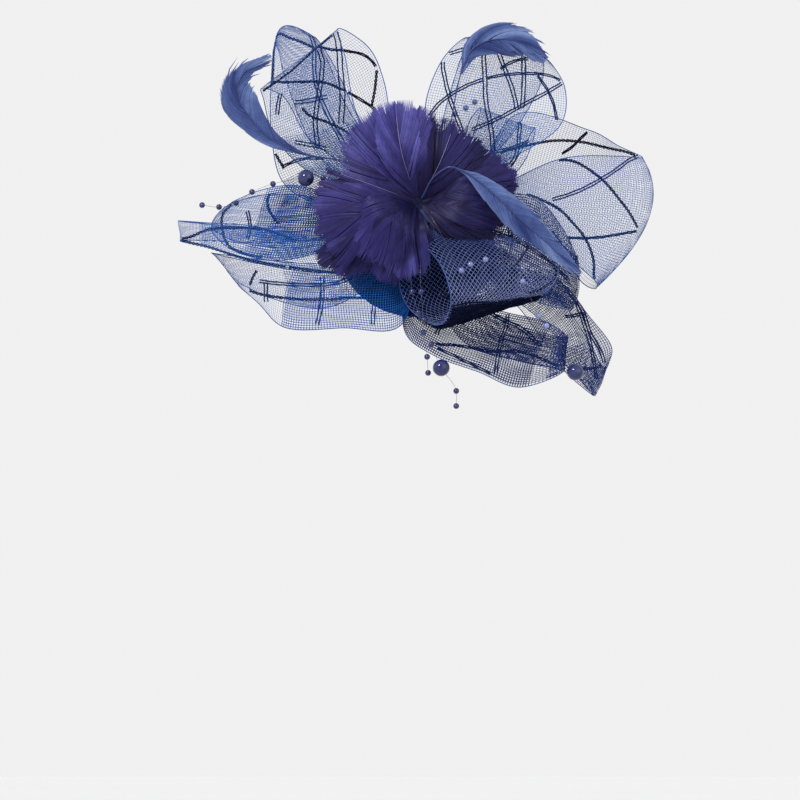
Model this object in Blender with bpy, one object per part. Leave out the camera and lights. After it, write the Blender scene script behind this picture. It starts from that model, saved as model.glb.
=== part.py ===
"""Mesh and feather fascinator: twelve loops of checked crinoline ribbon, a feather flower, three loose
feathers and five sprays of beads, tied round a short post on a domed felt base with a steel clip.

Metres, +Z up, as worn: -Y is the front, +X is to the right as seen from the front. The origin is the
middle of the underside of the base, where it sits on the hair, and the base faces up and forwards."""

import math
from collections import namedtuple

import bmesh
import bpy
import numpy as np
from mathutils import Vector

# Base, post and clip
HEAD_RADIUS = 0.085
FACE_LIFT = math.radians(35)
BASE_RADIUS = 0.038
FELT = 0.003
POST_RADIUS = 0.009
POST_LENGTH = 0.027
CLIP_LENGTH = 0.044
CLIP_WIDTH = 0.010
CLIP_STEEL = 0.001
CLIP_MOUTH = 0.002
CLEARANCE = 0.0003

# Ribbon, at its gathered end and its thickness
CLOTH = 0.001
ROOT_WIDTH = 0.008

# Feathers
FLOWER_REACH = 0.055
FLOWER_HEAD_RADIUS = 0.0055
PETAL_WIDTH = 0.020
FEATHER = 0.001
QUILL_WIDTH = 0.0015

# Beads and the wire that they are strung on
WIRE_RADIUS = 0.0004
SMALL_BEAD = 0.0015
LARGE_PEARL = 0.00425

# Mesh steps
BASE_SIDES = 28
SPANS_PER_ROW = 2
RIBBON_STRIPS = 3
CLIP_FACETS = 7

# A loop leaves the post at a clock angle, its front and back layers at levels that are shares of the
# post's length. It reaches, rises and stands forward by its own sizes. Each row is one section across
# the ribbon, from the front layer round the fold to the back layer: its edges a and b as shares of
# reach to the right, rise upwards and depth backwards, and how far the middle bows out, as a share of
# the section's length.
Loop = namedtuple("Loop", "name clock back front reach rise depth finish rows")
Row = namedtuple("Row", "side_a up_a deep_a side_b up_b deep_b bow", defaults=[0.0])

LOOPS = [
    Loop("back_left_loop", 128, 0.10, 0.21, 0.0735, 0.1135, 0.034, "blue", [
        Row(-0.93, 0.29, 0.24, -0.34, 0.46, 0.21),
        Row(-1.00, 0.48, 0.27, -0.49, 0.62, 0.25),
        Row(-1.00, 0.77, 0.35, -0.63, 0.84, 0.34),
        Row(-0.97, 0.89, 0.66, -0.71, 0.93, 0.66, 0.5),
        Row(-0.92, 0.77, 1.00, -0.58, 0.81, 1.00),
        Row(-0.75, 0.48, 0.88, -0.41, 0.57, 0.88),
    ]),
    Loop("front_left_loop", 120, 0.46, 0.62, 0.078, 0.109, 0.012, "blue", [
        Row(-0.76, 0.37, -0.40, -0.26, 0.46, -0.40),
        Row(-0.92, 0.50, -0.92, -0.40, 0.62, -0.92),
        Row(-0.99, 0.67, -1.00, -0.47, 0.87, -1.00),
        Row(-1.00, 0.72, -0.10, -0.52, 1.00, -0.10),
        Row(-0.87, 0.69, 0.58, -0.34, 0.93, 0.58),
        Row(-0.71, 0.50, 0.50, -0.22, 0.76, 0.50),
        Row(-0.51, 0.39, 0.33, -0.17, 0.55, 0.33),
    ]),
    Loop("back_right_loop", 72, 0.51, 0.69, 0.075, 0.1075, 0.014, "blue", [
        Row(0.09, 0.44, -0.75, 0.61, 0.40, -0.75),
        Row(0.05, 0.65, -1.00, 0.94, 0.55, -1.00),
        Row(0.16, 0.86, -0.68, 0.98, 0.74, -0.68),
        Row(0.33, 0.97, 0.00, 0.85, 0.87, 0.00, 0.18),
        Row(0.27, 0.84, 0.55, 0.83, 0.77, 0.55),
        Row(0.17, 0.60, 0.36, 0.67, 0.56, 0.36),
    ]),
    Loop("inner_right_loop", 55, 0.22, 0.30, 0.059, 0.069, 0.013, "blue", [
        Row(0.38, 0.62, 0.40, 0.72, 0.43, 0.40),
        Row(0.44, 0.91, 0.50, 0.95, 0.69, 0.50),
        Row(0.53, 1.00, 0.75, 1.00, 0.86, 0.75),
        Row(0.47, 0.80, 0.85, 0.85, 0.65, 0.90),
    ]),
    Loop("right_loop", 5, 0.08, 0.34, 0.116, 0.066, 0.028, "blue", [
        Row(0.42, 0.51, 0.07, 0.45, 0.23, 0.07),
        Row(0.62, 0.66, 0.10, 0.68, -0.13, 0.10),
        Row(0.88, 0.68, 0.24, 0.78, -0.30, 0.24, 0.15),
        Row(0.97, 0.67, 0.58, 0.77, -0.33, 0.58, 0.22),
        Row(0.88, 0.76, 0.90, 0.71, -0.27, 0.90, 0.15),
        Row(0.74, 0.89, 1.00, 0.60, 0.08, 1.00),
        Row(0.41, 0.99, 0.86, 0.34, 0.30, 0.86),
        Row(0.24, 0.50, 0.45, 0.22, 0.22, 0.38),
    ]),
    Loop("left_cone_loop", 182, 0.69, 0.84, 0.1205, 0.0125, 0.034, "blue", [
        Row(-0.25, -1.12, -0.94, -0.33, 0.20, -0.94),
        Row(-0.44, -1.04, -1.00, -0.53, 0.40, -1.00),
        Row(-0.68, -0.68, -0.97, -0.69, 0.76, -0.97),
        Row(-0.88, -0.08, -0.85, -0.88, 0.88, -0.85),
        Row(-0.99, 0.16, -0.70, -0.99, 0.96, -0.70),
        Row(-0.83, 0.16, -0.56, -0.83, 0.80, -0.56),
        Row(-0.50, -0.12, -0.53, -0.50, 0.56, -0.53),
    ]),
    Loop("left_round_loop", 160, 0.30, 0.39, 0.106, 0.031, 0.012, "blue", [
        Row(-0.42, -0.08, -0.83, -0.35, 0.73, -0.83),
        Row(-0.71, -0.24, -1.00, -0.60, 0.97, -1.00),
        Row(-0.90, -0.03, -0.83, -0.78, 0.85, -0.83),
        Row(-0.98, 0.26, -0.33, -0.88, 0.68, -0.33, 0.2),
        Row(-0.87, 0.08, 0.08, -0.75, 0.81, 0.08),
        Row(-0.52, 0.08, -0.10, -0.47, 0.77, -0.10),
    ]),
    Loop("forehead_loop", 245, 0.40, 0.75, 0.108, 0.0415, 0.030, "blue", [
        Row(-0.07, -0.94, -0.83, -0.06, -0.27, -0.83),
        Row(-0.35, -1.00, -1.00, -0.35, -0.34, -1.00),
        Row(-0.62, -0.99, -1.00, -0.56, -0.31, -1.00),
        Row(-0.74, -0.70, -0.87, -0.79, -0.20, -0.87),
        Row(-0.83, -0.46, -0.60, -0.96, -0.10, -0.60),
        Row(-0.69, -0.63, -0.43, -0.74, -0.17, -0.43),
        Row(-0.42, -0.75, -0.40, -0.44, -0.22, -0.40),
    ]),
    Loop("front_cone_loop", 310, 0.785, 0.915, 0.070, 0.040, 0.052, "navy", [
        Row(0.93, -0.10, -0.58, 0.04, 0.03, -0.77, 0.06),
        Row(1.00, -0.31, -0.63, 0.17, -0.28, -0.96),
        Row(0.91, -0.60, -0.63, 0.23, -0.73, -0.98),
        Row(0.75, -0.69, -0.52, 0.14, -1.00, -0.83),
        Row(0.71, -0.50, -0.40, -0.06, -0.81, -0.65),
        Row(0.71, -0.19, -0.40, -0.14, -0.44, -0.62),
    ]),
    Loop("lower_right_loop", 285, 0.56, 0.655, 0.075, 0.071, 0.027, "navy", [
        Row(0.03, -0.21, -0.74, -0.09, -0.60, -0.81),
        Row(0.33, -0.39, -0.70, 0.09, -0.77, -1.00),
        Row(0.60, -0.48, -0.63, 0.40, -0.89, -1.00),
        Row(0.87, -0.55, -0.44, 0.70, -1.00, -0.81),
        Row(1.00, -0.65, -0.19, 0.96, -0.89, -0.44),
        Row(0.83, -0.62, -0.11, 0.73, -0.83, -0.26),
        Row(0.47, -0.46, -0.44, 0.33, -0.70, -0.63),
    ]),
    Loop("tail_loop", 318, 0.08, 0.155, 0.0975, 0.075, 0.013, "navy", [
        Row(0.36, -0.12, -0.70, 0.31, -0.27, -1.00),
        Row(0.72, -0.23, 0.38, 0.54, -0.40, 0.38),
        Row(0.88, -0.47, 0.38, 0.72, -0.63, 0.38),
        Row(1.00, -0.69, 0.46, 0.75, -0.83, 0.46),
        Row(0.97, -0.81, 0.70, 0.90, -1.00, 0.70),
        Row(0.85, -0.57, 1.00, 0.67, -0.67, 1.00),
        Row(0.69, -0.30, 0.92, 0.51, -0.40, 0.92),
        Row(0.36, -0.12, -0.52, 0.31, -0.27, -0.82),
    ]),
    Loop("right_round_loop", 335, 0.40, 0.49, 0.081, 0.032, 0.014, "navy", [
        Row(0.37, 0.66, -1.20, 0.25, -0.23, -1.30),
        Row(0.68, 0.78, -1.05, 0.49, -0.66, -1.15),
        Row(0.90, 0.23, -0.85, 0.85, -0.97, -0.90),
        Row(0.98, -0.16, -0.50, 0.93, -1.00, -0.55, 0.12),
        Row(0.86, 0.08, -0.25, 0.81, -0.86, -0.30),
        Row(0.56, 0.47, -0.60, 0.46, -0.55, -0.80),
        Row(0.35, 0.25, -0.95, 0.27, -0.30, -1.10),
    ]),
]

# A petal runs from the flower's head through a middle point to its tip, all as shares of the flower's
# reach: to the right, upwards and forwards. Its width is a share of the petal width.
Petal = namedtuple("Petal", "mid_side mid_up mid_fore tip_side tip_up tip_fore width")

PETALS = [
    Petal(-0.33, 0.40, 0.15, -0.53, 0.77, 0.05, 1.0),
    Petal(-0.20, 0.48, 0.20, -0.30, 0.91, 0.05, 1.1),
    Petal(-0.05, 0.48, 0.15, -0.09, 0.91, 0.05, 1.0),
    Petal(0.03, 0.42, 0.20, 0.09, 0.77, 0.12, 0.9),
    Petal(0.17, 0.40, 0.15, 0.40, 0.72, 0.05, 1.0),
    Petal(0.28, 0.32, 0.18, 0.56, 0.53, 0.05, 1.0),
    Petal(0.45, 0.22, 0.15, 0.90, 0.32, 0.00, 1.0),
    Petal(0.45, 0.08, 0.18, 0.86, 0.09, 0.05, 1.0),
    Petal(0.40, -0.05, 0.20, 0.73, -0.14, 0.10, 0.9),
    Petal(0.25, -0.13, 0.25, 0.45, -0.27, 0.25, 0.9),
    Petal(-0.50, 0.18, 0.20, -0.96, 0.21, 0.15, 1.0),
    Petal(-0.50, 0.05, 0.25, -0.99, -0.05, 0.20, 1.1),
    Petal(-0.50, -0.08, 0.28, -0.91, -0.29, 0.25, 1.0),
    Petal(-0.40, -0.18, 0.25, -0.68, -0.45, 0.25, 1.2),
    Petal(-0.25, -0.22, 0.28, -0.45, -0.52, 0.28, 1.2),
    Petal(-0.17, -0.33, 0.25, -0.32, -0.75, 0.25, 1.0),
    Petal(-0.03, -0.30, 0.28, -0.11, -0.68, 0.28, 1.0),
]
PETAL_OUTLINE = [0.15, 0.60, 0.95, 1.00, 0.90, 0.60, 0.20]
# How far out from the middle of the flower's head a petal's foot is, as a share of its radius
PETAL_FOOT = 0.5

# A loose feather or a spray of beads starts beside the post, or on the flower's head in a direction
OnPost = namedtuple("OnPost", "clock level")
OnHead = namedtuple("OnHead", "right back up")

# Each row of a loose feather is a place along its quill, as shares of its reach, rise and depth, and
# the share of the vane's width that it has there
Feather = namedtuple("Feather", "name start reach rise depth width rows")
Quill = namedtuple("Quill", "side up deep width")

FEATHERS = [
    Feather("left_feather", OnPost(140, 0.95), 0.090, 0.0935, 0.020, 0.018, [
        Quill(-0.33, 0.42, -1.00, 0.00),
        Quill(-0.67, 0.50, -1.00, 0.10),
        Quill(-0.82, 0.57, -1.00, 0.45),
        Quill(-0.93, 0.68, -1.00, 0.80),
        Quill(-0.99, 0.77, -1.00, 1.00),
        Quill(-1.00, 0.86, -0.95, 0.75),
        Quill(-0.96, 0.93, -0.90, 0.50),
        Quill(-0.89, 0.97, -0.85, 0.30),
        Quill(-0.81, 1.00, -0.80, 0.08),
    ]),
    Feather("top_feather", OnPost(70, 0.95), 0.0645, 0.103, 0.018, 0.016, [
        Quill(0.23, 0.53, -1.00, 0.00),
        Quill(0.35, 0.86, -1.00, 0.10),
        Quill(0.42, 0.95, -1.00, 0.50),
        Quill(0.53, 0.99, -1.00, 0.88),
        Quill(0.67, 1.00, -0.95, 1.00),
        Quill(0.81, 0.98, -0.90, 0.88),
        Quill(0.92, 0.94, -0.88, 0.45),
        Quill(1.00, 0.90, -0.85, 0.08),
    ]),
    Feather("right_feather", OnHead(0.30, -0.85, 0.43), 0.081, 0.0385, 0.046, 0.015, [
        Quill(0.11, 0.90, -0.93, 0.00),
        Quill(0.20, 1.00, -1.00, 0.00),
        Quill(0.28, 0.94, -1.00, 0.10),
        Quill(0.41, 0.75, -1.00, 0.60),
        Quill(0.53, 0.52, -1.00, 0.87),
        Quill(0.64, 0.30, -0.98, 1.00),
        Quill(0.78, 0.04, -0.95, 0.73),
        Quill(1.00, -0.40, -0.88, 0.08),
    ]),
]

# Where each spray of beads runs, in metres, with the radius of the bead at each place or 0 for none
Spray = namedtuple("Spray", "name start stops")
Stop = namedtuple("Stop", "x y z bead")

SPRAYS = [
    Spray("left_bead_spray", OnPost(165, 0.94), [
        Stop(-0.0300, -0.0260, 0.0290, 0),
        Stop(-0.0475, -0.0240, 0.0335, SMALL_BEAD),
        Stop(-0.0560, -0.0220, 0.0335, LARGE_PEARL),
        Stop(-0.0725, -0.0220, 0.0305, SMALL_BEAD),
        Stop(-0.0830, -0.0210, 0.0265, SMALL_BEAD),
        Stop(-0.0910, -0.0200, 0.0210, SMALL_BEAD),
        Stop(-0.0995, -0.0190, 0.0190, SMALL_BEAD),
        Stop(-0.1080, -0.0180, 0.0200, SMALL_BEAD),
    ]),
    Spray("hanging_bead_strand", OnPost(262, 0.95), [
        Stop(-0.0030, -0.0390, -0.0080, 0),
        Stop(-0.0030, -0.0420, -0.0235, SMALL_BEAD),
        Stop(0.0000, -0.0440, -0.0340, SMALL_BEAD),
        Stop(0.0025, -0.0450, -0.0440, SMALL_BEAD),
        Stop(0.0045, -0.0420, -0.0560, SMALL_BEAD),
        Stop(0.0050, -0.0410, -0.0640, SMALL_BEAD),
    ]),
    Spray("pearl_drop_strand", OnPost(277, 0.95), [
        Stop(0.0010, -0.0410, -0.0080, 0),
        Stop(0.0015, -0.0460, -0.0235, SMALL_BEAD),
        Stop(0.0030, -0.0490, -0.0375, SMALL_BEAD),
        Stop(0.0065, -0.0490, -0.0500, SMALL_BEAD),
        Stop(0.0115, -0.0460, -0.0615, LARGE_PEARL),
        Stop(0.0190, -0.0420, -0.0730, SMALL_BEAD),
        Stop(0.0190, -0.0410, -0.0805, SMALL_BEAD),
    ]),
    Spray("cone_bead_strand", OnHead(0.15, -1.00, -0.10), [
        Stop(0.0060, -0.0460, 0.0140, 0),
        Stop(0.0120, -0.0500, 0.0040, 0),
        Stop(0.0170, -0.0510, -0.0060, 0),
        Stop(0.0215, -0.0510, -0.0130, SMALL_BEAD),
        Stop(0.0260, -0.0500, -0.0100, SMALL_BEAD),
        Stop(0.0335, -0.0480, -0.0075, SMALL_BEAD),
        Stop(0.0520, -0.0430, -0.0185, SMALL_BEAD),
        Stop(0.0600, -0.0400, -0.0355, SMALL_BEAD),
        Stop(0.0640, -0.0370, -0.0405, SMALL_BEAD),
        Stop(0.0785, -0.0260, -0.0635, LARGE_PEARL),
    ]),
    Spray("inner_bead_strand", OnPost(75, 0.60), [
        Stop(0.0100, -0.0060, 0.0400, 0),
        Stop(0.0130, -0.0030, 0.0625, SMALL_BEAD),
        Stop(0.0185, -0.0020, 0.0660, SMALL_BEAD),
        Stop(0.0240, -0.0020, 0.0690, SMALL_BEAD),
        Stop(0.0285, -0.0020, 0.0720, SMALL_BEAD),
    ]),
]

RIGHT = Vector((1, 0, 0))
FORWARD = Vector((0, -1, 0))
FACE = Vector((0, -math.cos(FACE_LIFT), math.sin(FACE_LIFT)))
FACE_UP = Vector((0, math.sin(FACE_LIFT), math.cos(FACE_LIFT)))
HEAD_CENTRE = -HEAD_RADIUS * FACE
POST_FOOT = FELT + CLEARANCE
POST_TOP = POST_FOOT + POST_LENGTH
FLOWER_CENTRE = (POST_TOP + CLEARANCE + FLOWER_HEAD_RADIUS) * FACE

COLOURS = {
    "blue": (0.030, 0.110, 0.360),
    "navy": (0.012, 0.030, 0.140),
    "violet": (0.045, 0.030, 0.180),
    "sky": (0.060, 0.110, 0.380),
    "pearl": (0.010, 0.020, 0.110),
    "felt": (0.020, 0.050, 0.200),
    "steel": (0.550, 0.560, 0.580),
}


def clear_scene():
    for obj in list(bpy.data.objects):
        bpy.data.objects.remove(obj, do_unlink=True)


def finish(name, colour, roughness, metallic=0.0):
    material = bpy.data.materials.new(name)
    material.use_nodes = True
    shader = material.node_tree.nodes["Principled BSDF"]
    shader.inputs["Base Color"].default_value = (*COLOURS[colour], 1.0)
    shader.inputs["Roughness"].default_value = roughness
    shader.inputs["Metallic"].default_value = metallic
    return material


def add_object(name, data, material):
    data.materials.append(material)
    obj = bpy.data.objects.new(name, data)
    bpy.context.scene.collection.objects.link(obj)
    return obj


def thicken(obj, thickness):
    wall = obj.modifiers.new("Wall", "SOLIDIFY")
    wall.thickness = thickness
    wall.offset = 0.0


def smooth_curve(points, knots, places):
    """The points at these places of a smooth curve that passes each given point at its knot."""
    slopes = np.gradient(points, knots, axis=0)
    after = np.clip(np.searchsorted(knots, places, side="right"), 1, len(knots) - 1)
    before = after - 1
    span = (knots[after] - knots[before])[:, None]
    part = (places - knots[before])[:, None] / span
    ease = part * part * (3 - 2 * part)
    leave = part * (1 - part) ** 2
    arrive = part * part * (part - 1)
    return (
        points[before] * (1 - ease)
        + points[after] * ease
        + (slopes[before] * leave + slopes[after] * arrive) * span
    )


def knots_of(points):
    steps = np.linalg.norm(np.diff(points, axis=0), axis=1)
    return np.concatenate([[0.0], np.cumsum(steps)])


def sheet_mesh(name, grid):
    """A mesh through a grid of points, with rows along the sheet and columns across it."""
    rows, columns = grid.shape[:2]
    corners = [
        (row * columns + column, row * columns + column + 1)
        for row in range(rows - 1)
        for column in range(columns - 1)
    ]
    faces = [(a, b, b + columns, a + columns) for a, b in corners]
    mesh = bpy.data.meshes.new(name)
    mesh.from_pydata(grid.reshape(-1, 3).tolist(), [], faces)
    mesh.shade_smooth()
    return mesh


def at_post(clock, level, outside):
    """A place beside the post, and the direction along its surface there."""
    turn = math.radians(clock)
    away = math.cos(turn) * RIGHT + math.sin(turn) * FACE_UP
    along = -math.sin(turn) * RIGHT + math.cos(turn) * FACE_UP
    height = POST_FOOT + level * POST_LENGTH
    return height * FACE + (POST_RADIUS + outside) * away, along


def start_of(anchor, outside):
    """Where a feather or a spray starts, this far outside the post or the flower's head."""
    if isinstance(anchor, OnPost):
        return at_post(anchor.clock, anchor.level, outside)[0]
    return FLOWER_CENTRE + (FLOWER_HEAD_RADIUS + outside) * Vector(anchor).normalized()


def loop_sections(loop):
    """The two edges and the middle of each section, from the front root to the back root."""
    sections = []
    for row in loop.rows:
        a = Vector((row.side_a * loop.reach, row.deep_a * loop.depth, row.up_a * loop.rise))
        b = Vector((row.side_b * loop.reach, row.deep_b * loop.depth, row.up_b * loop.rise))
        middle = (a + b) / 2
        out = Vector((middle.x, 0, middle.z)).normalized()
        sections.append((a, middle + row.bow * (a - b).length * out, b))
    for level, place in ((loop.front, 0), (loop.back, len(sections) + 1)):
        centre, along = at_post(loop.clock, level, CLEARANCE + CLOTH / 2)
        half = ROOT_WIDTH / 2 * along
        sections.insert(place, (centre + half, centre, centre - half))
    return np.array(sections)


def ribbon_grid(loop):
    edge_a, middle, edge_b = np.swapaxes(loop_sections(loop), 0, 1)
    knots = knots_of(middle)
    rows = np.arange(len(knots))
    places = np.interp(np.linspace(0, rows[-1], SPANS_PER_ROW * rows[-1] + 1), rows, knots)
    edge_a, middle, edge_b = (smooth_curve(line, knots, places) for line in (edge_a, middle, edge_b))
    across = np.linspace(0, 1, RIBBON_STRIPS + 1)[None, :, None]
    return (
        edge_a[:, None] * (1 - across) * (1 - 2 * across)
        + middle[:, None] * 4 * across * (1 - across)
        + edge_b[:, None] * across * (2 * across - 1)
    )


def add_loops():
    finishes = {colour: finish(f"{colour}_crinoline", colour, 0.5) for colour in ("blue", "navy")}
    for loop in LOOPS:
        ribbon = add_object(loop.name, sheet_mesh(loop.name, ribbon_grid(loop)), finishes[loop.finish])
        thicken(ribbon, CLOTH)


def blade_grid(points, halves, spans):
    """A flat blade that faces forwards, along a curve through the points, this far to either side."""
    points = np.array(points)
    knots = knots_of(points)
    places = np.linspace(0, knots[-1], spans + 1)
    spine = smooth_curve(points, knots, places)
    halves = np.interp(places, knots, halves) if len(halves) == len(points) else np.array(halves)
    along = np.gradient(spine, axis=0)
    sideways = np.cross(along, np.array(FORWARD))
    sideways /= np.linalg.norm(sideways, axis=1)[:, None]
    offset = sideways * halves[:, None]
    return np.stack([spine - offset, spine, spine + offset], axis=1)


def petal_mesh(number, petal):
    middle = Vector((petal.mid_side, -petal.mid_fore, petal.mid_up)) * FLOWER_REACH
    tip = Vector((petal.tip_side, -petal.tip_fore, petal.tip_up)) * FLOWER_REACH
    foot = PETAL_FOOT * FLOWER_HEAD_RADIUS * middle.normalized()
    points = [FLOWER_CENTRE + at for at in (foot, middle, tip)]
    halves = [share * petal.width * PETAL_WIDTH / 2 for share in PETAL_OUTLINE]
    return sheet_mesh(f"petal_{number}", blade_grid(points, halves, len(halves) - 1))


def add_flower():
    """The feather petals, joined at their feet to one round head."""
    violet = finish("violet_feather", "violet", 0.6)
    mesh = bpy.data.meshes.new("feather_flower")
    shape = bmesh.new()
    bmesh.ops.create_uvsphere(shape, u_segments=12, v_segments=8, radius=FLOWER_HEAD_RADIUS)
    bmesh.ops.translate(shape, verts=shape.verts, vec=FLOWER_CENTRE)
    shape.to_mesh(mesh)
    shape.free()
    flower = add_object("feather_flower", mesh, violet)
    for number, row in enumerate(PETALS, 1):
        petal = add_object(f"petal_{number}", petal_mesh(number, row), violet)
        thicken(petal, FEATHER)
        petal.hide_render = True
        petal.display_type = "WIRE"
        union = flower.modifiers.new(petal.name, "BOOLEAN")
        union.operation = "UNION"
        union.object = petal


def add_feathers():
    sky = finish("blue_feather", "sky", 0.6)
    for feather in FEATHERS:
        points = [start_of(feather.start, CLEARANCE + FEATHER / 2)]
        halves = [QUILL_WIDTH / 2]
        for row in feather.rows:
            place = (row.side * feather.reach, row.deep * feather.depth, row.up * feather.rise)
            points.append(Vector(place))
            halves.append(max(QUILL_WIDTH, row.width * feather.width) / 2)
        grid = blade_grid(points, halves, 2 * len(feather.rows))
        thicken(add_object(feather.name, sheet_mesh(feather.name, grid), sky), FEATHER)


def strand_points(stops):
    """Places and radii along a strand: the wire, and a round bead at each stop that has one."""
    places = np.array([stop[:3] for stop in stops])
    along = np.gradient(places, axis=0)
    along /= np.linalg.norm(along, axis=1)[:, None]
    points = []
    for stop, place, direction in zip(stops, places, along):
        if not stop.bead:
            points.append((place, WIRE_RADIUS))
            continue
        lead = math.asin(WIRE_RADIUS / stop.bead)
        for step in range(6):
            turn = lead + step * (math.pi - 2 * lead) / 5
            offset = -math.cos(turn) * stop.bead * direction
            points.append((place + offset, math.sin(turn) * stop.bead))
    return points


def add_sprays():
    pearl = finish("pearl", "pearl", 0.2)
    for spray in SPRAYS:
        start = start_of(spray.start, CLEARANCE + WIRE_RADIUS)
        points = strand_points([Stop(*start, 0), *spray.stops])
        curve = bpy.data.curves.new(spray.name, "CURVE")
        curve.dimensions = "3D"
        curve.bevel_depth = 1.0
        curve.bevel_resolution = 3
        curve.use_fill_caps = True
        spline = curve.splines.new("POLY")
        spline.points.add(len(points) - 1)
        for point, (place, radius) in zip(spline.points, points):
            point.co = (*place, 1.0)
            point.radius = radius
        add_object(spray.name, curve, pearl)


def add_base():
    """A round of felt, domed to the head."""
    edge = math.asin(BASE_RADIUS / HEAD_RADIUS)
    mesh = bpy.data.meshes.new("base")
    shape = bmesh.new()
    rings = []
    for radius in (HEAD_RADIUS + FELT, HEAD_RADIUS):
        top = shape.verts.new(HEAD_CENTRE + radius * FACE)
        rings.append([top])
        for lean in (edge / 3, 2 * edge / 3, edge):
            ring = []
            for side in range(BASE_SIDES):
                turn = side * math.tau / BASE_SIDES
                away = math.cos(turn) * RIGHT + math.sin(turn) * FACE_UP
                place = math.cos(lean) * FACE + math.sin(lean) * away
                ring.append(shape.verts.new(HEAD_CENTRE + radius * place))
            rings.append(ring)
    pairs = [(0, 1), (1, 2), (2, 3), (3, 7), (7, 6), (6, 5), (5, 4)]
    for first, second in pairs:
        for side in range(BASE_SIDES):
            after = (side + 1) % BASE_SIDES
            a = rings[first]
            b = rings[second]
            if len(a) == 1:
                shape.faces.new((a[0], b[side], b[after]))
            elif len(b) == 1:
                shape.faces.new((a[after], a[side], b[0]))
            else:
                shape.faces.new((a[side], b[side], b[after], a[after]))
    bmesh.ops.recalc_face_normals(shape, faces=shape.faces)
    shape.to_mesh(mesh)
    shape.free()
    add_object("base", mesh, finish("felt", "felt", 0.9))


def add_post():
    """The wrapped post that every loop, feather and spray is tied round."""
    mesh = bpy.data.meshes.new("post")
    shape = bmesh.new()
    ends = []
    for height in (POST_FOOT, POST_TOP):
        ring = []
        for side in range(BASE_SIDES):
            turn = side * math.tau / BASE_SIDES
            away = math.cos(turn) * RIGHT + math.sin(turn) * FACE_UP
            ring.append(shape.verts.new(height * FACE + POST_RADIUS * away))
        ends.append(ring)
        shape.faces.new(ring)
    bmesh.ops.bridge_loops(shape, edges=shape.edges)
    bmesh.ops.recalc_face_normals(shape, faces=shape.faces)
    shape.to_mesh(mesh)
    shape.free()
    add_object("post", mesh, finish("wrapped_thread", "felt", 0.8))


def add_clip():
    """A sprung steel clip under the base: two leaves bent to the head, joined at one end."""
    outer = HEAD_RADIUS - CLEARANCE - CLIP_WIDTH**2 / (8 * HEAD_RADIUS)
    swing = CLIP_LENGTH / 2 / outer
    turns = [swing * (2 * step / CLIP_FACETS - 1) for step in range(CLIP_FACETS + 1)]
    inner = outer - 2 * CLIP_STEEL - CLIP_MOUTH
    bend = swing - CLIP_STEEL / outer
    path = [(outer, turn) for turn in turns]
    path += [(inner, turn) for turn in reversed(turns)]
    path += [(inner + CLIP_STEEL, turn) for turn in turns[:-1]]
    path += [(inner + CLIP_STEEL, bend), (outer - CLIP_STEEL, bend)]
    path += [(outer - CLIP_STEEL, turn) for turn in reversed(turns[:-1])]
    mesh = bpy.data.meshes.new("hair_clip")
    shape = bmesh.new()
    outline = []
    for radius, turn in path:
        place = HEAD_CENTRE + radius * (math.cos(turn) * FACE + math.sin(turn) * RIGHT)
        outline.append(shape.verts.new(place - CLIP_WIDTH / 2 * FACE_UP))
    side = shape.faces.new(outline)
    grown = bmesh.ops.extrude_face_region(shape, geom=[side])["geom"]
    moved = [item for item in grown if isinstance(item, bmesh.types.BMVert)]
    bmesh.ops.translate(shape, verts=moved, vec=CLIP_WIDTH * FACE_UP)
    bmesh.ops.recalc_face_normals(shape, faces=shape.faces)
    shape.to_mesh(mesh)
    shape.free()
    add_object("hair_clip", mesh, finish("spring_steel", "steel", 0.3, 1.0))


clear_scene()
add_base()
add_post()
add_clip()
add_loops()
add_flower()
add_feathers()
add_sprays()
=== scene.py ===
"""Mesh and feather fascinator on its CAD frame: woven ribbon loops, a feather flower, three loose curled
feathers, bead sprays, and the base, wrapped post and clip that hold them.

Metres, +Z up as worn, -Y to the front. Each ribbon loop is a net of real threads laid on the loop's own
surface, which repeats the sections of the CAD."""

import math
from collections import namedtuple

import bpy
import numpy as np
from mathutils import Matrix, Vector


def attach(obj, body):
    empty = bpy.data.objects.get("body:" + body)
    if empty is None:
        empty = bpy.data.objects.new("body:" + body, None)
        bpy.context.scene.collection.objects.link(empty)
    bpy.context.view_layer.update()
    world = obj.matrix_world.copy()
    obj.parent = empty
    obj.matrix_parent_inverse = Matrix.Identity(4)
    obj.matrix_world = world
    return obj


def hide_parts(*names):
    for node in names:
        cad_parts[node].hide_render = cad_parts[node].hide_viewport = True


FACE_LIFT = math.radians(35)
FELT = 0.003
POST_RADIUS = 0.009
POST_LENGTH = 0.027
CLEARANCE = 0.0003
CLOTH = 0.001
ROOT_WIDTH = 0.008
FLOWER_REACH = 0.055
FLOWER_HEAD_RADIUS = 0.0055
PETAL_WIDTH = 0.020
SMALL_BEAD = 0.0015
LARGE_PEARL = 0.00425

# The ribbon's mesh, its doubled dark yarns and its edges
NET_PITCH = 0.00125
CONE_PITCH = 0.00180
NET_SHARE = 0.71
CONE_SHARE = 0.92
LINING_SHARES = {"azure": 0.90, "deep": 1.40, "navy": 1.10, "dusk": 1.30, "ink": 1.55}
LINING_PITCH = 0.97 * NET_PITCH
LINING_WANDER = 0.012
OVER_AND_UNDER = 0.00006
GATHERS = 5
GATHER_DEPTH = 0.0013
GATHER_START = 0.012
GATHER_FADE = 0.030
RIPPLE_DEPTH = 0.0006
RIPPLE_START = 0.020
RIPPLE_LENGTH = 0.011
DYE_REACH = 0.055
CHECK_YARN = 0.00039
YARN_LIFT = 0.0003
YARN_STEP = 0.00055
TWIST = 0.0042
TWIST_RADIUS = 0.00046
TWIST_LIFT = 0.00018
TWISTED_UNDER = 0.6
SELVAGE = 0.00024
ALONG_STEP = 0.0030
ACROSS_STEP = 0.0034

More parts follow.
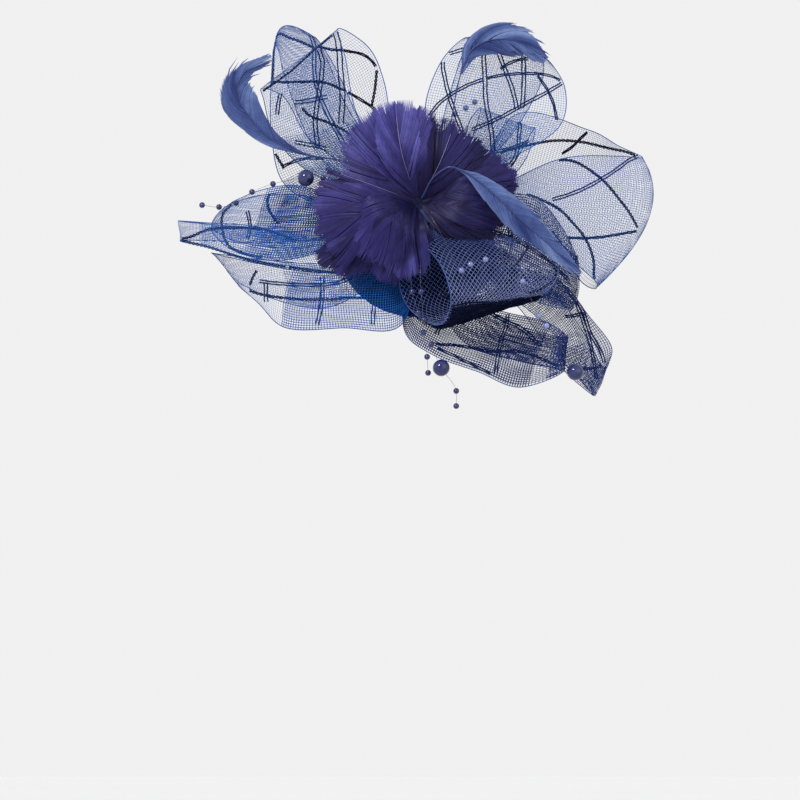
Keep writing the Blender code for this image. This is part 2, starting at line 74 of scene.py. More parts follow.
# How a yarn's route is found on a loop: the shares of its length that are each wall, and how dear it is
# to stray from the last place
WALLS = {"front": (0.0, 0.54), "back": (0.46, 1.0)}
ROUTE_STEP = 0.0015
STRAY_COST = 0.15

# Barbs, shafts and bead thread
BARB_UNEVEN = 0.00022
BARB_WAVE = 0.006
BARB_LEAN = 0.42
BARB_REACH = 0.62
LAYER_GAP = 0.0005
PETAL_LAYER_GAP = 0.0008
PETAL_JITTER = 0.0011
BEAD_THREAD = 0.00009

# The studio
CAMERA_AWAY = 5.5
PHOTO_WIDTH = 0.400
SENSOR = 36.0
FLOOR_LEVEL = -0.42

Loop = namedtuple("Loop", "name clock back front reach rise depth finish rows")
Row = namedtuple("Row", "side_a up_a deep_a side_b up_b deep_b bow", defaults=[0.0])

LOOPS = [
    Loop("back_left_loop", 128, 0.1, 0.21, 0.0735, 0.1135, 0.034, "blue", [
        Row(-0.93, 0.29, 0.24, -0.34, 0.46, 0.21),
        Row(-1.0, 0.48, 0.27, -0.49, 0.62, 0.25),
        Row(-1.0, 0.77, 0.35, -0.63, 0.84, 0.34),
        Row(-0.97, 0.89, 0.66, -0.71, 0.93, 0.66, 0.5),
        Row(-0.92, 0.77, 1.0, -0.58, 0.81, 1.0),
        Row(-0.75, 0.48, 0.88, -0.41, 0.57, 0.88),
    ]),
    Loop("front_left_loop", 120, 0.46, 0.62, 0.078, 0.109, 0.012, "blue", [
        Row(-0.76, 0.37, -0.4, -0.26, 0.46, -0.4),
        Row(-0.92, 0.5, -0.92, -0.4, 0.62, -0.92),
        Row(-0.99, 0.67, -1.0, -0.47, 0.87, -1.0),
        Row(-1.0, 0.72, -0.1, -0.52, 1.0, -0.1),
        Row(-0.87, 0.69, 0.58, -0.34, 0.93, 0.58),
        Row(-0.71, 0.5, 0.5, -0.22, 0.76, 0.5),
        Row(-0.51, 0.39, 0.33, -0.17, 0.55, 0.33),
    ]),
    Loop("back_right_loop", 72, 0.51, 0.69, 0.075, 0.1075, 0.014, "blue", [
        Row(0.09, 0.44, -0.75, 0.61, 0.4, -0.75),
        Row(0.05, 0.65, -1.0, 0.94, 0.55, -1.0),
        Row(0.16, 0.86, -0.68, 0.98, 0.74, -0.68),
        Row(0.33, 0.97, 0.0, 0.85, 0.87, 0.0, 0.18),
        Row(0.27, 0.84, 0.55, 0.83, 0.77, 0.55),
        Row(0.17, 0.6, 0.36, 0.67, 0.56, 0.36),
    ]),
    Loop("inner_right_loop", 55, 0.22, 0.3, 0.059, 0.069, 0.013, "blue", [
        Row(0.38, 0.62, 0.4, 0.72, 0.43, 0.4),
        Row(0.44, 0.91, 0.5, 0.95, 0.69, 0.5),
        Row(0.53, 1.0, 0.75, 1.0, 0.86, 0.75),
        Row(0.47, 0.8, 0.85, 0.85, 0.65, 0.9),
    ]),
    Loop("right_loop", 5, 0.08, 0.34, 0.116, 0.066, 0.028, "blue", [
        Row(0.42, 0.51, 0.07, 0.45, 0.23, 0.07),
        Row(0.62, 0.66, 0.1, 0.68, -0.13, 0.1),
        Row(0.88, 0.68, 0.24, 0.78, -0.3, 0.24, 0.15),
        Row(0.97, 0.67, 0.58, 0.77, -0.33, 0.58, 0.22),
        Row(0.88, 0.76, 0.9, 0.71, -0.27, 0.9, 0.15),
        Row(0.74, 0.89, 1.0, 0.6, 0.08, 1.0),
        Row(0.41, 0.99, 0.86, 0.34, 0.3, 0.86),
        Row(0.24, 0.5, 0.45, 0.22, 0.22, 0.38),
    ]),
    Loop("left_cone_loop", 182, 0.69, 0.84, 0.1205, 0.0125, 0.034, "blue", [
        Row(-0.25, -1.12, -0.94, -0.33, 0.2, -0.94),
        Row(-0.44, -1.04, -1.0, -0.53, 0.4, -1.0),
        Row(-0.68, -0.68, -0.97, -0.69, 0.76, -0.97),
        Row(-0.88, -0.08, -0.85, -0.88, 0.88, -0.85),
        Row(-0.99, 0.16, -0.7, -0.99, 0.96, -0.7),
        Row(-0.83, 0.16, -0.56, -0.83, 0.8, -0.56),
        Row(-0.5, -0.12, -0.53, -0.5, 0.56, -0.53),
    ]),
    Loop("left_round_loop", 160, 0.3, 0.39, 0.106, 0.031, 0.012, "blue", [
        Row(-0.42, -0.08, -0.83, -0.35, 0.73, -0.83),
        Row(-0.71, -0.24, -1.0, -0.6, 0.97, -1.0),
        Row(-0.9, -0.03, -0.83, -0.78, 0.85, -0.83),
        Row(-0.98, 0.26, -0.33, -0.88, 0.68, -0.33, 0.2),
        Row(-0.87, 0.08, 0.08, -0.75, 0.81, 0.08),
        Row(-0.52, 0.08, -0.1, -0.47, 0.77, -0.1),
    ]),
    Loop("forehead_loop", 245, 0.4, 0.75, 0.108, 0.0415, 0.03, "blue", [
        Row(-0.07, -0.94, -0.83, -0.06, -0.27, -0.83),
        Row(-0.35, -1.0, -1.0, -0.35, -0.34, -1.0),
        Row(-0.62, -0.99, -1.0, -0.56, -0.31, -1.0),
        Row(-0.74, -0.7, -0.87, -0.79, -0.2, -0.87),
        Row(-0.83, -0.46, -0.6, -0.96, -0.1, -0.6),
        Row(-0.69, -0.63, -0.43, -0.74, -0.17, -0.43),
        Row(-0.42, -0.75, -0.4, -0.44, -0.22, -0.4),
    ]),
    Loop("front_cone_loop", 310, 0.785, 0.915, 0.07, 0.04, 0.052, "navy", [
        Row(0.93, -0.1, -0.58, 0.04, 0.03, -0.77, 0.06),
        Row(1.0, -0.31, -0.63, 0.17, -0.28, -0.96),
        Row(0.91, -0.6, -0.63, 0.23, -0.73, -0.98),
        Row(0.75, -0.69, -0.52, 0.14, -1.0, -0.83),
        Row(0.71, -0.5, -0.4, -0.06, -0.81, -0.65),
        Row(0.71, -0.19, -0.4, -0.14, -0.44, -0.62),
    ]),
    Loop("lower_right_loop", 285, 0.56, 0.655, 0.075, 0.071, 0.027, "navy", [
        Row(0.03, -0.21, -0.74, -0.09, -0.6, -0.81),
        Row(0.33, -0.39, -0.7, 0.09, -0.77, -1.0),
        Row(0.6, -0.48, -0.63, 0.4, -0.89, -1.0),
        Row(0.87, -0.55, -0.44, 0.7, -1.0, -0.81),
        Row(1.0, -0.65, -0.19, 0.96, -0.89, -0.44),
        Row(0.83, -0.62, -0.11, 0.73, -0.83, -0.26),
        Row(0.47, -0.46, -0.44, 0.33, -0.7, -0.63),
    ]),
    Loop("tail_loop", 318, 0.08, 0.155, 0.0975, 0.075, 0.013, "navy", [
        Row(0.36, -0.12, -0.7, 0.31, -0.27, -1.0),
        Row(0.72, -0.23, 0.38, 0.54, -0.4, 0.38),
        Row(0.88, -0.47, 0.38, 0.72, -0.63, 0.38),
        Row(1.0, -0.69, 0.46, 0.75, -0.83, 0.46),
        Row(0.97, -0.81, 0.7, 0.9, -1.0, 0.7),
        Row(0.85, -0.57, 1.0, 0.67, -0.67, 1.0),
        Row(0.69, -0.3, 0.92, 0.51, -0.4, 0.92),
        Row(0.36, -0.12, -0.52, 0.31, -0.27, -0.82),
    ]),
    Loop("right_round_loop", 335, 0.4, 0.49, 0.081, 0.032, 0.014, "navy", [
        Row(0.37, 0.66, -1.2, 0.25, -0.23, -1.3),
        Row(0.68, 0.78, -1.05, 0.49, -0.66, -1.15),
        Row(0.9, 0.23, -0.85, 0.85, -0.97, -0.9),
        Row(0.98, -0.16, -0.5, 0.93, -1.0, -0.55, 0.12),
        Row(0.86, 0.08, -0.25, 0.81, -0.86, -0.3),
        Row(0.56, 0.47, -0.6, 0.46, -0.55, -0.8),
        Row(0.35, 0.25, -0.95, 0.27, -0.3, -1.1),
    ]),
]

# Where each loop's doubled dark yarns run, as X and Z in millimetres on its front or its back wall.
# Spread is how far the two yarns lie apart, in millimetres. Closer pairs are twisted round each other.
Yarn = namedtuple("Yarn", "wall spread route")

YARNS = {
    "back_left_loop": [
        Yarn("back", 0, [(-73, 105), (-67.8, 105.4), (-61.5, 105), (-57, 103), (-51, 100)]),
        Yarn("front", 0, [(-73.2, 104), (-73.6, 92), (-73.4, 80)]),
        Yarn("front", 0, [(-72, 47), (-66.7, 38)]),
        Yarn("front", 0.9, [(-69, 39), (-61, 43), (-53, 44.2), (-46, 43.5)]),
        Yarn("back", 1.6, [(-66, 72), (-54, 74), (-44, 76)]),
        Yarn("back", 1.6, [(-53, 104), (-52, 84), (-42, 60), (-33, 44)]),
    ],
    "front_left_loop": [
        Yarn("front", 0, [(-78.5, 77), (-69, 83.5), (-62, 89), (-55, 95.5), (-42, 106)]),
        Yarn("back", 0.7, [(-49, 97.8), (-42.8, 98.5), (-36.5, 98), (-24, 94), (-20.5, 89)]),
        Yarn("back", 0.5, [(-20.5, 89), (-21.5, 79), (-23.5, 69)]),
        Yarn("back", 0.6, [(-72, 80.8), (-64.7, 82.3), (-58.5, 82.3), (-48.5, 82.3), (-36, 77.7)]),
        Yarn("back", 0.8, [(-36, 77.7), (-28, 73), (-20.3, 67.5)]),
        Yarn("front", 0.5, [(-58.5, 69), (-54, 64.5), (-46, 62), (-35.5, 56.5), (-30.5, 52)]),
        Yarn("front", 1.6, [(-62.5, 51.7), (-56, 50.7), (-50, 49.7), (-44.8, 48)]),
        Yarn("front", 1.8, [(-47.8, 97), (-48, 89), (-48.5, 82), (-50.5, 71), (-51.5, 61), (-50, 48)]),
        Yarn("back", 2.4, [(-40.7, 107), (-39.7, 97), (-38.7, 85), (-37.8, 76), (-38.8, 60)]),
        Yarn("front", 1.4, [(-68.7, 77), (-69.7, 71.5), (-70.6, 64)]),
    ],
    "back_right_loop": [
        Yarn("front", 1.2, [(5.5, 64), (9.5, 70), (15.3, 74.7), (24, 79.8), (33.5, 83.5)]),
        Yarn("front", 0.9, [(33.5, 83.5), (44.3, 85.7), (52.5, 86.2), (64.8, 85.7), (73, 82.9)]),
        Yarn("front", 1.4, [(14.7, 96), (22.4, 98.2), (34, 101)]),
        Yarn("front", 1.5, [(11.7, 93), (15.3, 76.2), (20.3, 61.5), (22.5, 56)]),
        Yarn("front", 1.8, [(33, 97), (33.6, 83.5), (34, 71.5), (36, 61.5), (38, 46)]),
        Yarn("back", 1.6, [(39.5, 100), (45.8, 84.4), (48.4, 76.7), (50.4, 67)]),
        Yarn("back", 1.7, [(53, 96), (53.4, 82), (52.5, 68)]),
        Yarn("front", 1.3, [(73.2, 82), (65.8, 77.3), (57, 72.7), (46, 66.5), (36, 61.5), (26, 57.5)]),
        Yarn("front", 0.8, [(59.6, 86), (65.2, 77.3), (67.8, 71), (69.6, 61.5)]),
        Yarn("back", 0.9, [(40.7, 88.5), (49.5, 93), (57, 94)]),
    ],
    "inner_right_loop": [
        Yarn("back", 1.4, [(51.5, 66), (51, 59), (50.5, 49.7), (47.5, 38)]),
        Yarn("front", 1.0, [(36, 46.5), (48, 49.5), (57, 53.3)]),
    ],
    "right_loop": [
        Yarn("back", 0, [
            (41, 46.5), (57, 51.4), (69.5, 53.5), (80.5, 53), (95, 50), (104.8, 48.3), (111, 46.5),
        ]),
        Yarn("back", 0.7, [(86, 58.5), (81.8, 54), (76.7, 49), (71.6, 46)]),
        Yarn("back", 1.3, [(111.8, 46.5), (101, 39.5), (92, 33.5), (79, 27), (66.5, 23)]),
        Yarn("front", 0.3, [
            (69.7, 44.5), (79.3, 42), (87, 37.5), (94, 31.7), (102.2, 22), (108.6, 13.2), (111, 8),
        ]),
        Yarn("back", 0.7, [(111, 7.8), (98.4, 5.5), (85.6, 4.2), (74, 4.3)]),
        Yarn("front", 0.5, [
            (53.7, 26), (63.3, 22.5), (71, 18.3), (76.7, 12.5), (81.8, 6.8), (85.6, 0.5), (88.4, -9),
            (87.6, -20),
        ]),
    ],
    "left_cone_loop": [
        Yarn("front", 0, [
            (-118, 2.7), (-113, 4.5), (-107, 7.5), (-99.8, 8.4), (-91, 8.4), (-77, 7.8), (-59.5, 1.5),
        ]),
        Yarn("front", 0, [
            (-118, 2.7), (-113, -0.5), (-102.7, -2.5), (-94.7, -5.6), (-85.9, -9), (-77, -11.5),
            (-65.5, -14),
        ]),
        Yarn("front", 0, [(-65.5, -14), (-50.6, -15), (-36, -12)]),
    ],
    "left_round_loop": [
        Yarn("front", 0, [(-73.5, 26.5), (-75.6, 23.5), (-75, 18.5), (-72.7, 14), (-68.3, 9.7)]),
        Yarn("front", 0, [
            (-91, 21), (-96, 17.7), (-98.7, 12), (-98, 5.3), (-95.5, 0), (-87.3, -4), (-77, -6),
        ]),
        Yarn("back", 1.2, [(-86, 18), (-84, 8), (-86, 2)]),
    ],
    "forehead_loop": [
        Yarn("front", 0.4, [(-80, -12.4), (-83, -16.8), (-85, -22)]),
        Yarn("front", 0.5, [
            (-85, -22.5), (-76.3, -24.9), (-61.7, -27), (-47.8, -27.4), (-36, -26.7), (-21.3, -26),
            (-11, -24.5),
        ]),
        Yarn("front", 1.6, [(-21.5, -18), (-21.8, -27), (-22.8, -41)]),
        Yarn("front", 1.6, [(-47.8, -15), (-47.8, -27), (-50.6, -41)]),
        Yarn("front", 1.6, [(-76, -18), (-76.4, -24), (-76, -30)]),
        Yarn("front", 1.2, [(-80, -18), (-60, -20), (-40, -19), (-24, -12)]),
    ],
    "front_cone_loop": [
        Yarn("front", 0.6, [(55, 3), (53.8, -0.8), (50.2, -8), (47, -14)]),
        Yarn("front", 0.4, [(60.2, -4.3), (67, -10), (69.5, -14.4), (67, -18.7), (62, -21.5), (54, -25)]),
        Yarn("back", 1.6, [(10, -24), (24, -28), (40, -24)]),
    ],
    "lower_right_loop": [
        Yarn("front", 1.4, [(45, -32.5), (44.5, -40.2), (41.6, -47.4), (40.1, -54.5), (38.7, -66)]),
        Yarn("front", 0.8, [(7.9, -49.3), (20.8, -50.3), (34.4, -53), (53, -53.5), (71, -61)]),
        Yarn("front", 0.9, [(9.3, -51), (17.2, -55), (28.7, -60.5), (37.3, -65)]),
        Yarn("front", 1.5, [(8, -24), (12, -34), (9, -46)]),
        Yarn("back", 1.4, [(30, -30), (50, -40), (62, -52)]),
    ],
    "tail_loop": [
        Yarn("front", 1.2, [(74, -20), (83.2, -33), (86, -43), (91.8, -53), (94, -60)]),
        Yarn("front", 1.2, [(79, -27), (87.5, -53), (89, -61.8), (90, -68)]),
        Yarn("front", 0.8, [(78, -60), (85.4, -62), (93.5, -60)]),
        Yarn("front", 1.0, [(73, -35.5), (79, -35), (86, -33)]),
    ],
    "right_round_loop": [
        Yarn("front", 1.5, [(40, 22), (46, 8), (44, -8), (38, -20)]),
        Yarn("front", 1.0, [(34, 8), (50, 2), (66, -8), (76, -18)]),
    ],
}

# Where the cloth lies double, and where near-black nets inside the cone are painted shadow: shares along the
# loop, how far inside it lies in millimetres, and its finish.
Lining = namedtuple("Lining", "loop start end inside finish")

LININGS = [
    Lining("back_left_loop", 0.03, 0.2, 0.9, "azure"),
    Lining("front_left_loop", 0.03, 0.3, 0.9, "azure"),
    Lining("back_right_loop", 0.03, 0.17, 0.9, "azure"),
    Lining("inner_right_loop", 0.05, 0.3, 0.8, "azure"),
    Lining("left_cone_loop", 0.05, 0.47, 0.8, "azure"),
    Lining("left_round_loop", 0.03, 0.38, 0.9, "deep"),
    Lining("left_round_loop", 0.03, 0.34, 2.4, "deep"),
    Lining("left_round_loop", 0.66, 0.97, 0.9, "deep"),
    Lining("left_round_loop", 0.03, 0.32, 1.7, "deep"),
    Lining("forehead_loop", 0.06, 0.4, 0.8, "deep"),
    Lining("forehead_loop", 0.7, 0.97, 0.8, "azure"),
    # Near-black nets on the cone's back wall: painted shadow that darkens the cone's hollow.
    Lining("front_cone_loop", 0.5, 0.98, 0.7, "ink"),
    Lining("front_cone_loop", 0.5, 0.98, 1.4, "ink"),
    Lining("front_cone_loop", 0.5, 0.98, 2.1, "ink"),
    Lining("lower_right_loop", 0.02, 0.52, 0.8, "navy"),
    Lining("lower_right_loop", 0.02, 0.47, 1.6, "dusk"),
    Lining("lower_right_loop", 0.5, 0.98, 0.8, "dusk"),
    Lining("tail_loop", 0.03, 0.6, 0.8, "navy"),
    Lining("right_round_loop", 0.03, 0.46, 0.8, "navy"),
    Lining("right_round_loop", 0.5, 0.97, 0.8, "dusk"),
    Lining("right_round_loop", 0.52, 0.97, 1.6, "dusk"),
]

# The flower's feathers, from the back of it to the front, in shares of its reach. Each tone is colour and
# painted light and shade: paler on the lit upper left, darker on the shaded right and lower right.
Plume = namedtuple("Plume", "mid_side mid_up mid_fore tip_side tip_up tip_fore breadth tone quill")

PLUMES = [
    Plume(-0.3, 0.35, 0.06, -0.6, 0.7, -0.02, 1.35, 0.62, 0),
    Plume(0.02, 0.35, 0.06, 0.13, 0.73, 0.02, 0.95, 0.4, 0),
    Plume(-0.24, 0.44, 0.1, -0.42, 0.87, 0.0, 1.35, 0.8, 0),
    Plume(-0.055, 0.44, 0.12, 0.01, 0.89, 0.02, 1.15, 0.8, 0),
    Plume(-0.15, 0.46, 0.18, -0.21, 0.93, 0.05, 1.15, 1.0, 1),
    Plume(-0.34, 0.27, 0.1, -0.63, 0.5, 0.02, 1.05, 0.72, 0),
    Plume(-0.42, 0.16, 0.2, -0.84, 0.31, 0.12, 0.1, 0.5, 1),
    Plume(0.36, 0.19, 0.08, 0.76, 0.42, 0.02, 1.1, 0.28, 0),
    Plume(0.31, 0.29, 0.12, 0.58, 0.57, 0.04, 1.15, 0.2, 0),
    Plume(0.2, 0.37, 0.18, 0.34, 0.75, 0.08, 1.4, 0.3, 1),
    Plume(0.44, 0.13, 0.14, 0.91, 0.29, 0.02, 0.9, 0.36, 0),
    Plume(0.44, 0.05, 0.18, 0.92, 0.15, 0.05, 0.85, 0.4, 0),
    Plume(0.42, -0.03, 0.2, 0.85, -0.01, 0.08, 1.05, 0.28, 0),
    Plume(0.33, -0.09, 0.16, 0.74, -0.17, 0.08, 1.05, 0.1, 0),
    Plume(0.22, -0.15, 0.1, 0.5, -0.29, 0.06, 0.8, 0.02, 1),
    Plume(-0.51, -0.31, 0.16, -0.91, -0.55, 0.12, 0.75, 0.25, 0),
    Plume(-0.5, -0.4, 0.18, -0.76, -0.63, 0.14, 0.75, 0.32, 1),
    Plume(-0.45, 0.07, 0.22, -0.95, 0.1, 0.14, 0.75, 0.4, 0),
    Plume(-0.45, 0.01, 0.27, -0.98, -0.03, 0.16, 1.2, 0.62, 0),
    Plume(-0.43, -0.08, 0.3, -0.94, -0.27, 0.2, 1.35, 0.5, 0),
    Plume(-0.46, -0.19, 0.28, -0.84, -0.45, 0.22, 1.15, 0.42, 0),
    Plume(-0.19, -0.31, 0.18, -0.36, -0.72, 0.16, 1.1, 0.45, 0),
    Plume(-0.04, -0.28, 0.2, -0.06, -0.56, 0.18, 0.85, 0.32, 0),
    Plume(-0.1, -0.33, 0.26, -0.17, -0.7, 0.22, 1.25, 0.62, 0),
    Plume(-0.21, -0.14, 0.38, -0.42, -0.54, 0.28, 1.35, 0.5, 0),
    Plume(-0.3, -0.07, 0.36, -0.62, -0.43, 0.26, 1.45, 0.56, 0),
]

OnPost = namedtuple("OnPost", "clock level")
OnHead = namedtuple("OnHead", "right back up")
Feather = namedtuple("Feather", "name start reach rise depth width rows")
Quill = namedtuple("Quill", "side up deep width")

FEATHERS = [
    Feather("left_feather", OnPost(140, 0.95), 0.09, 0.0935, 0.02, 0.018, [
        Quill(-0.33, 0.42, -1.0, 0.0),
        Quill(-0.67, 0.5, -1.0, 0.1),
        Quill(-0.82, 0.57, -1.0, 0.45),
        Quill(-0.93, 0.68, -1.0, 0.8),
        Quill(-0.99, 0.77, -1.0, 1.0),
        Quill(-1.0, 0.86, -0.95, 0.75),
        Quill(-0.96, 0.93, -0.9, 0.5),
        Quill(-0.89, 0.97, -0.85, 0.3),
        Quill(-0.81, 1.0, -0.8, 0.08),
    ]),
    Feather("top_feather", OnPost(70, 0.95), 0.0645, 0.103, 0.018, 0.016, [
        Quill(0.23, 0.53, -1.0, 0.0),
        Quill(0.35, 0.86, -1.0, 0.1),
        Quill(0.42, 0.95, -1.0, 0.5),
        Quill(0.53, 0.99, -1.0, 0.88),
        Quill(0.67, 1.0, -0.95, 1.0),
        Quill(0.81, 0.98, -0.9, 0.88),
        Quill(0.92, 0.94, -0.88, 0.45),
        Quill(1.0, 0.9, -0.85, 0.08),
    ]),
    Feather("right_feather", OnHead(0.3, -0.85, 0.43), 0.081, 0.0385, 0.046, 0.015, [
        Quill(0.11, 0.9, -0.93, 0.0),
        Quill(0.2, 1.0, -1.0, 0.0),
        Quill(0.28, 0.94, -1.0, 0.1),
        Quill(0.41, 0.75, -1.0, 0.6),
        Quill(0.53, 0.52, -1.0, 0.87),
        Quill(0.64, 0.3, -0.98, 1.0),
        Quill(0.78, 0.04, -0.95, 0.73),
        Quill(1.0, -0.4, -0.88, 0.08),
    ]),
]

Spray = namedtuple("Spray", "name start stops")
Stop = namedtuple("Stop", "x y z bead", defaults=[SMALL_BEAD])

SPRAYS = [
    Spray("left_bead_spray", OnPost(165, 0.94), [
        Stop(-0.03, -0.026, 0.029, 0),
        Stop(-0.0475, -0.024, 0.0335),
        Stop(-0.056, -0.022, 0.0335, LARGE_PEARL),
        Stop(-0.0725, -0.022, 0.0305),
        Stop(-0.083, -0.021, 0.0265),
        Stop(-0.091, -0.02, 0.021),
        Stop(-0.0995, -0.019, 0.019),
        Stop(-0.108, -0.018, 0.02),
    ]),
    Spray("hanging_bead_strand", OnPost(262, 0.95), [
        Stop(-0.003, -0.039, -0.008, 0),
        Stop(-0.003, -0.042, -0.0235),
        Stop(0.0, -0.044, -0.034),
        Stop(0.0025, -0.045, -0.044),
        Stop(0.0045, -0.042, -0.056),
        Stop(0.005, -0.041, -0.064),
    ]),
    Spray("pearl_drop_strand", OnPost(277, 0.95), [
        Stop(0.001, -0.041, -0.008, 0),
        Stop(0.0015, -0.046, -0.0235),
        Stop(0.003, -0.049, -0.0375),
        Stop(0.0065, -0.049, -0.05),
        Stop(0.0115, -0.046, -0.0615, LARGE_PEARL),
        Stop(0.019, -0.042, -0.073),
        Stop(0.019, -0.041, -0.0805),
    ]),
    Spray("cone_bead_strand", OnHead(0.15, -1.0, -0.1), [
        Stop(0.006, -0.046, 0.014, 0),
        Stop(0.012, -0.05, 0.004, 0),
        Stop(0.017, -0.051, -0.006, 0),
        Stop(0.0215, -0.051, -0.013),
        Stop(0.026, -0.05, -0.01),
        Stop(0.0335, -0.048, -0.0075),
        Stop(0.052, -0.043, -0.0185),
        Stop(0.06, -0.04, -0.0355),
        Stop(0.064, -0.037, -0.0405),
        Stop(0.0785, -0.026, -0.0635, LARGE_PEARL),
    ]),
    Spray("inner_bead_strand", OnPost(75, 0.6), [
        Stop(0.01, -0.006, 0.04, 0),
        Stop(0.013, -0.003, 0.0625),
        Stop(0.0185, -0.002, 0.066),
        Stop(0.024, -0.002, 0.069),
        Stop(0.0285, -0.002, 0.072),
    ]),
]

# How the dye runs from the far end of a loop to its root, and how rough and glossy the thread is
Dye = namedtuple("Dye", "far middle root rough gloss")

DYES = {
    "blue_net": Dye((0.03, 0.11, 0.41), (0.022, 0.12, 0.45), (0.034, 0.13, 0.41), 0.3, 0.14),
    "azure_net": Dye((0.026, 0.115, 0.42), (0.026, 0.118, 0.41), (0.03, 0.12, 0.38), 0.25, 0.2),
    "deep_net": Dye((0.018, 0.095, 0.38), (0.012, 0.095, 0.38), (0.006, 0.095, 0.4), 0.25, 0.2),
    "navy_net": Dye((0.018, 0.04, 0.19), (0.016, 0.042, 0.19), (0.01, 0.038, 0.18), 0.3, 0.12),
    "dusk_net": Dye((0.01, 0.026, 0.14), (0.009, 0.026, 0.14), (0.007, 0.025, 0.12), 0.3, 0.12),
    # The cone's pale thread is partly its own colour and partly painted highlight on its glossy threads.
    "pale_cone_net_with_painted_highlight": Dye((0.24, 0.29, 0.54), (0.18, 0.22, 0.46), (0.06, 0.09, 0.3), 0.2, 0.7),
    # Near-black thread for the nets that paint the shadow inside the cone.
    "ink_net": Dye((0.004, 0.006, 0.03), (0.004, 0.006, 0.028), (0.003, 0.005, 0.025), 0.4, 0.05),
    "blue_edge": Dye((0.03, 0.08, 0.27), (0.022, 0.1, 0.38), (0.008, 0.11, 0.45), 0.35, 0.2),
    "navy_edge": Dye((0.11, 0.16, 0.4), (0.07, 0.115, 0.33), (0.03, 0.06, 0.22), 0.3, 0.3),
}
WHITE = (1, 1, 1)

RIGHT = Vector((1, 0, 0))
FACE = Vector((0, -math.cos(FACE_LIFT), math.sin(FACE_LIFT)))
FACE_UP = Vector((0, math.sin(FACE_LIFT), math.cos(FACE_LIFT)))
POST_FOOT = FELT + CLEARANCE
FLOWER_CENTRE = (POST_FOOT + POST_LENGTH + CLEARANCE + FLOWER_HEAD_RADIUS) * FACE


def deselect():
    bpy.ops.object.select_all(action="DESELECT")


def at_post(clock, level, outside):
    """A place on the post's side, and the way round the post from there."""
    turn = math.radians(clock)
    away = math.cos(turn) * RIGHT + math.sin(turn) * FACE_UP
    along = -math.sin(turn) * RIGHT + math.cos(turn) * FACE_UP
    height = POST_FOOT + level * POST_LENGTH
    return height * FACE + (POST_RADIUS + outside) * away, along


def start_of(anchor, outside):
    """Where a feather or a spray starts, on the post or on the flower's head."""
    if isinstance(anchor, OnPost):
        return at_post(anchor.clock, anchor.level, outside)[0]
    return FLOWER_CENTRE + (FLOWER_HEAD_RADIUS + outside) * Vector(anchor).normalized()


def knots_of(points):
    """How far along the line each of its points is."""
    steps = np.linalg.norm(np.diff(points, axis=0), axis=1)
    return np.concatenate([[0.0], np.cumsum(steps)])


def smooth_curve(points, knots, places):
    """A smooth curve through all the points, read at some places along it."""
    slopes = np.gradient(points, knots, axis=0)
    after = np.clip(np.searchsorted(knots, places, side="right"), 1, len(knots) - 1)
    before = after - 1
    span = (knots[after] - knots[before])[:, None]
    part = (places - knots[before])[:, None] / span
    ease = part * part * (3 - 2 * part)
    leave = part * (1 - part) ** 2
    arrive = part * part * (part - 1)
    return (
        points[before] * (1 - ease)
        + points[after] * ease
        + (slopes[before] * leave + slopes[after] * arrive) * span
    )


def unit(vectors):
    return vectors / np.maximum(np.linalg.norm(vectors, axis=-1, keepdims=True), 1e-9)


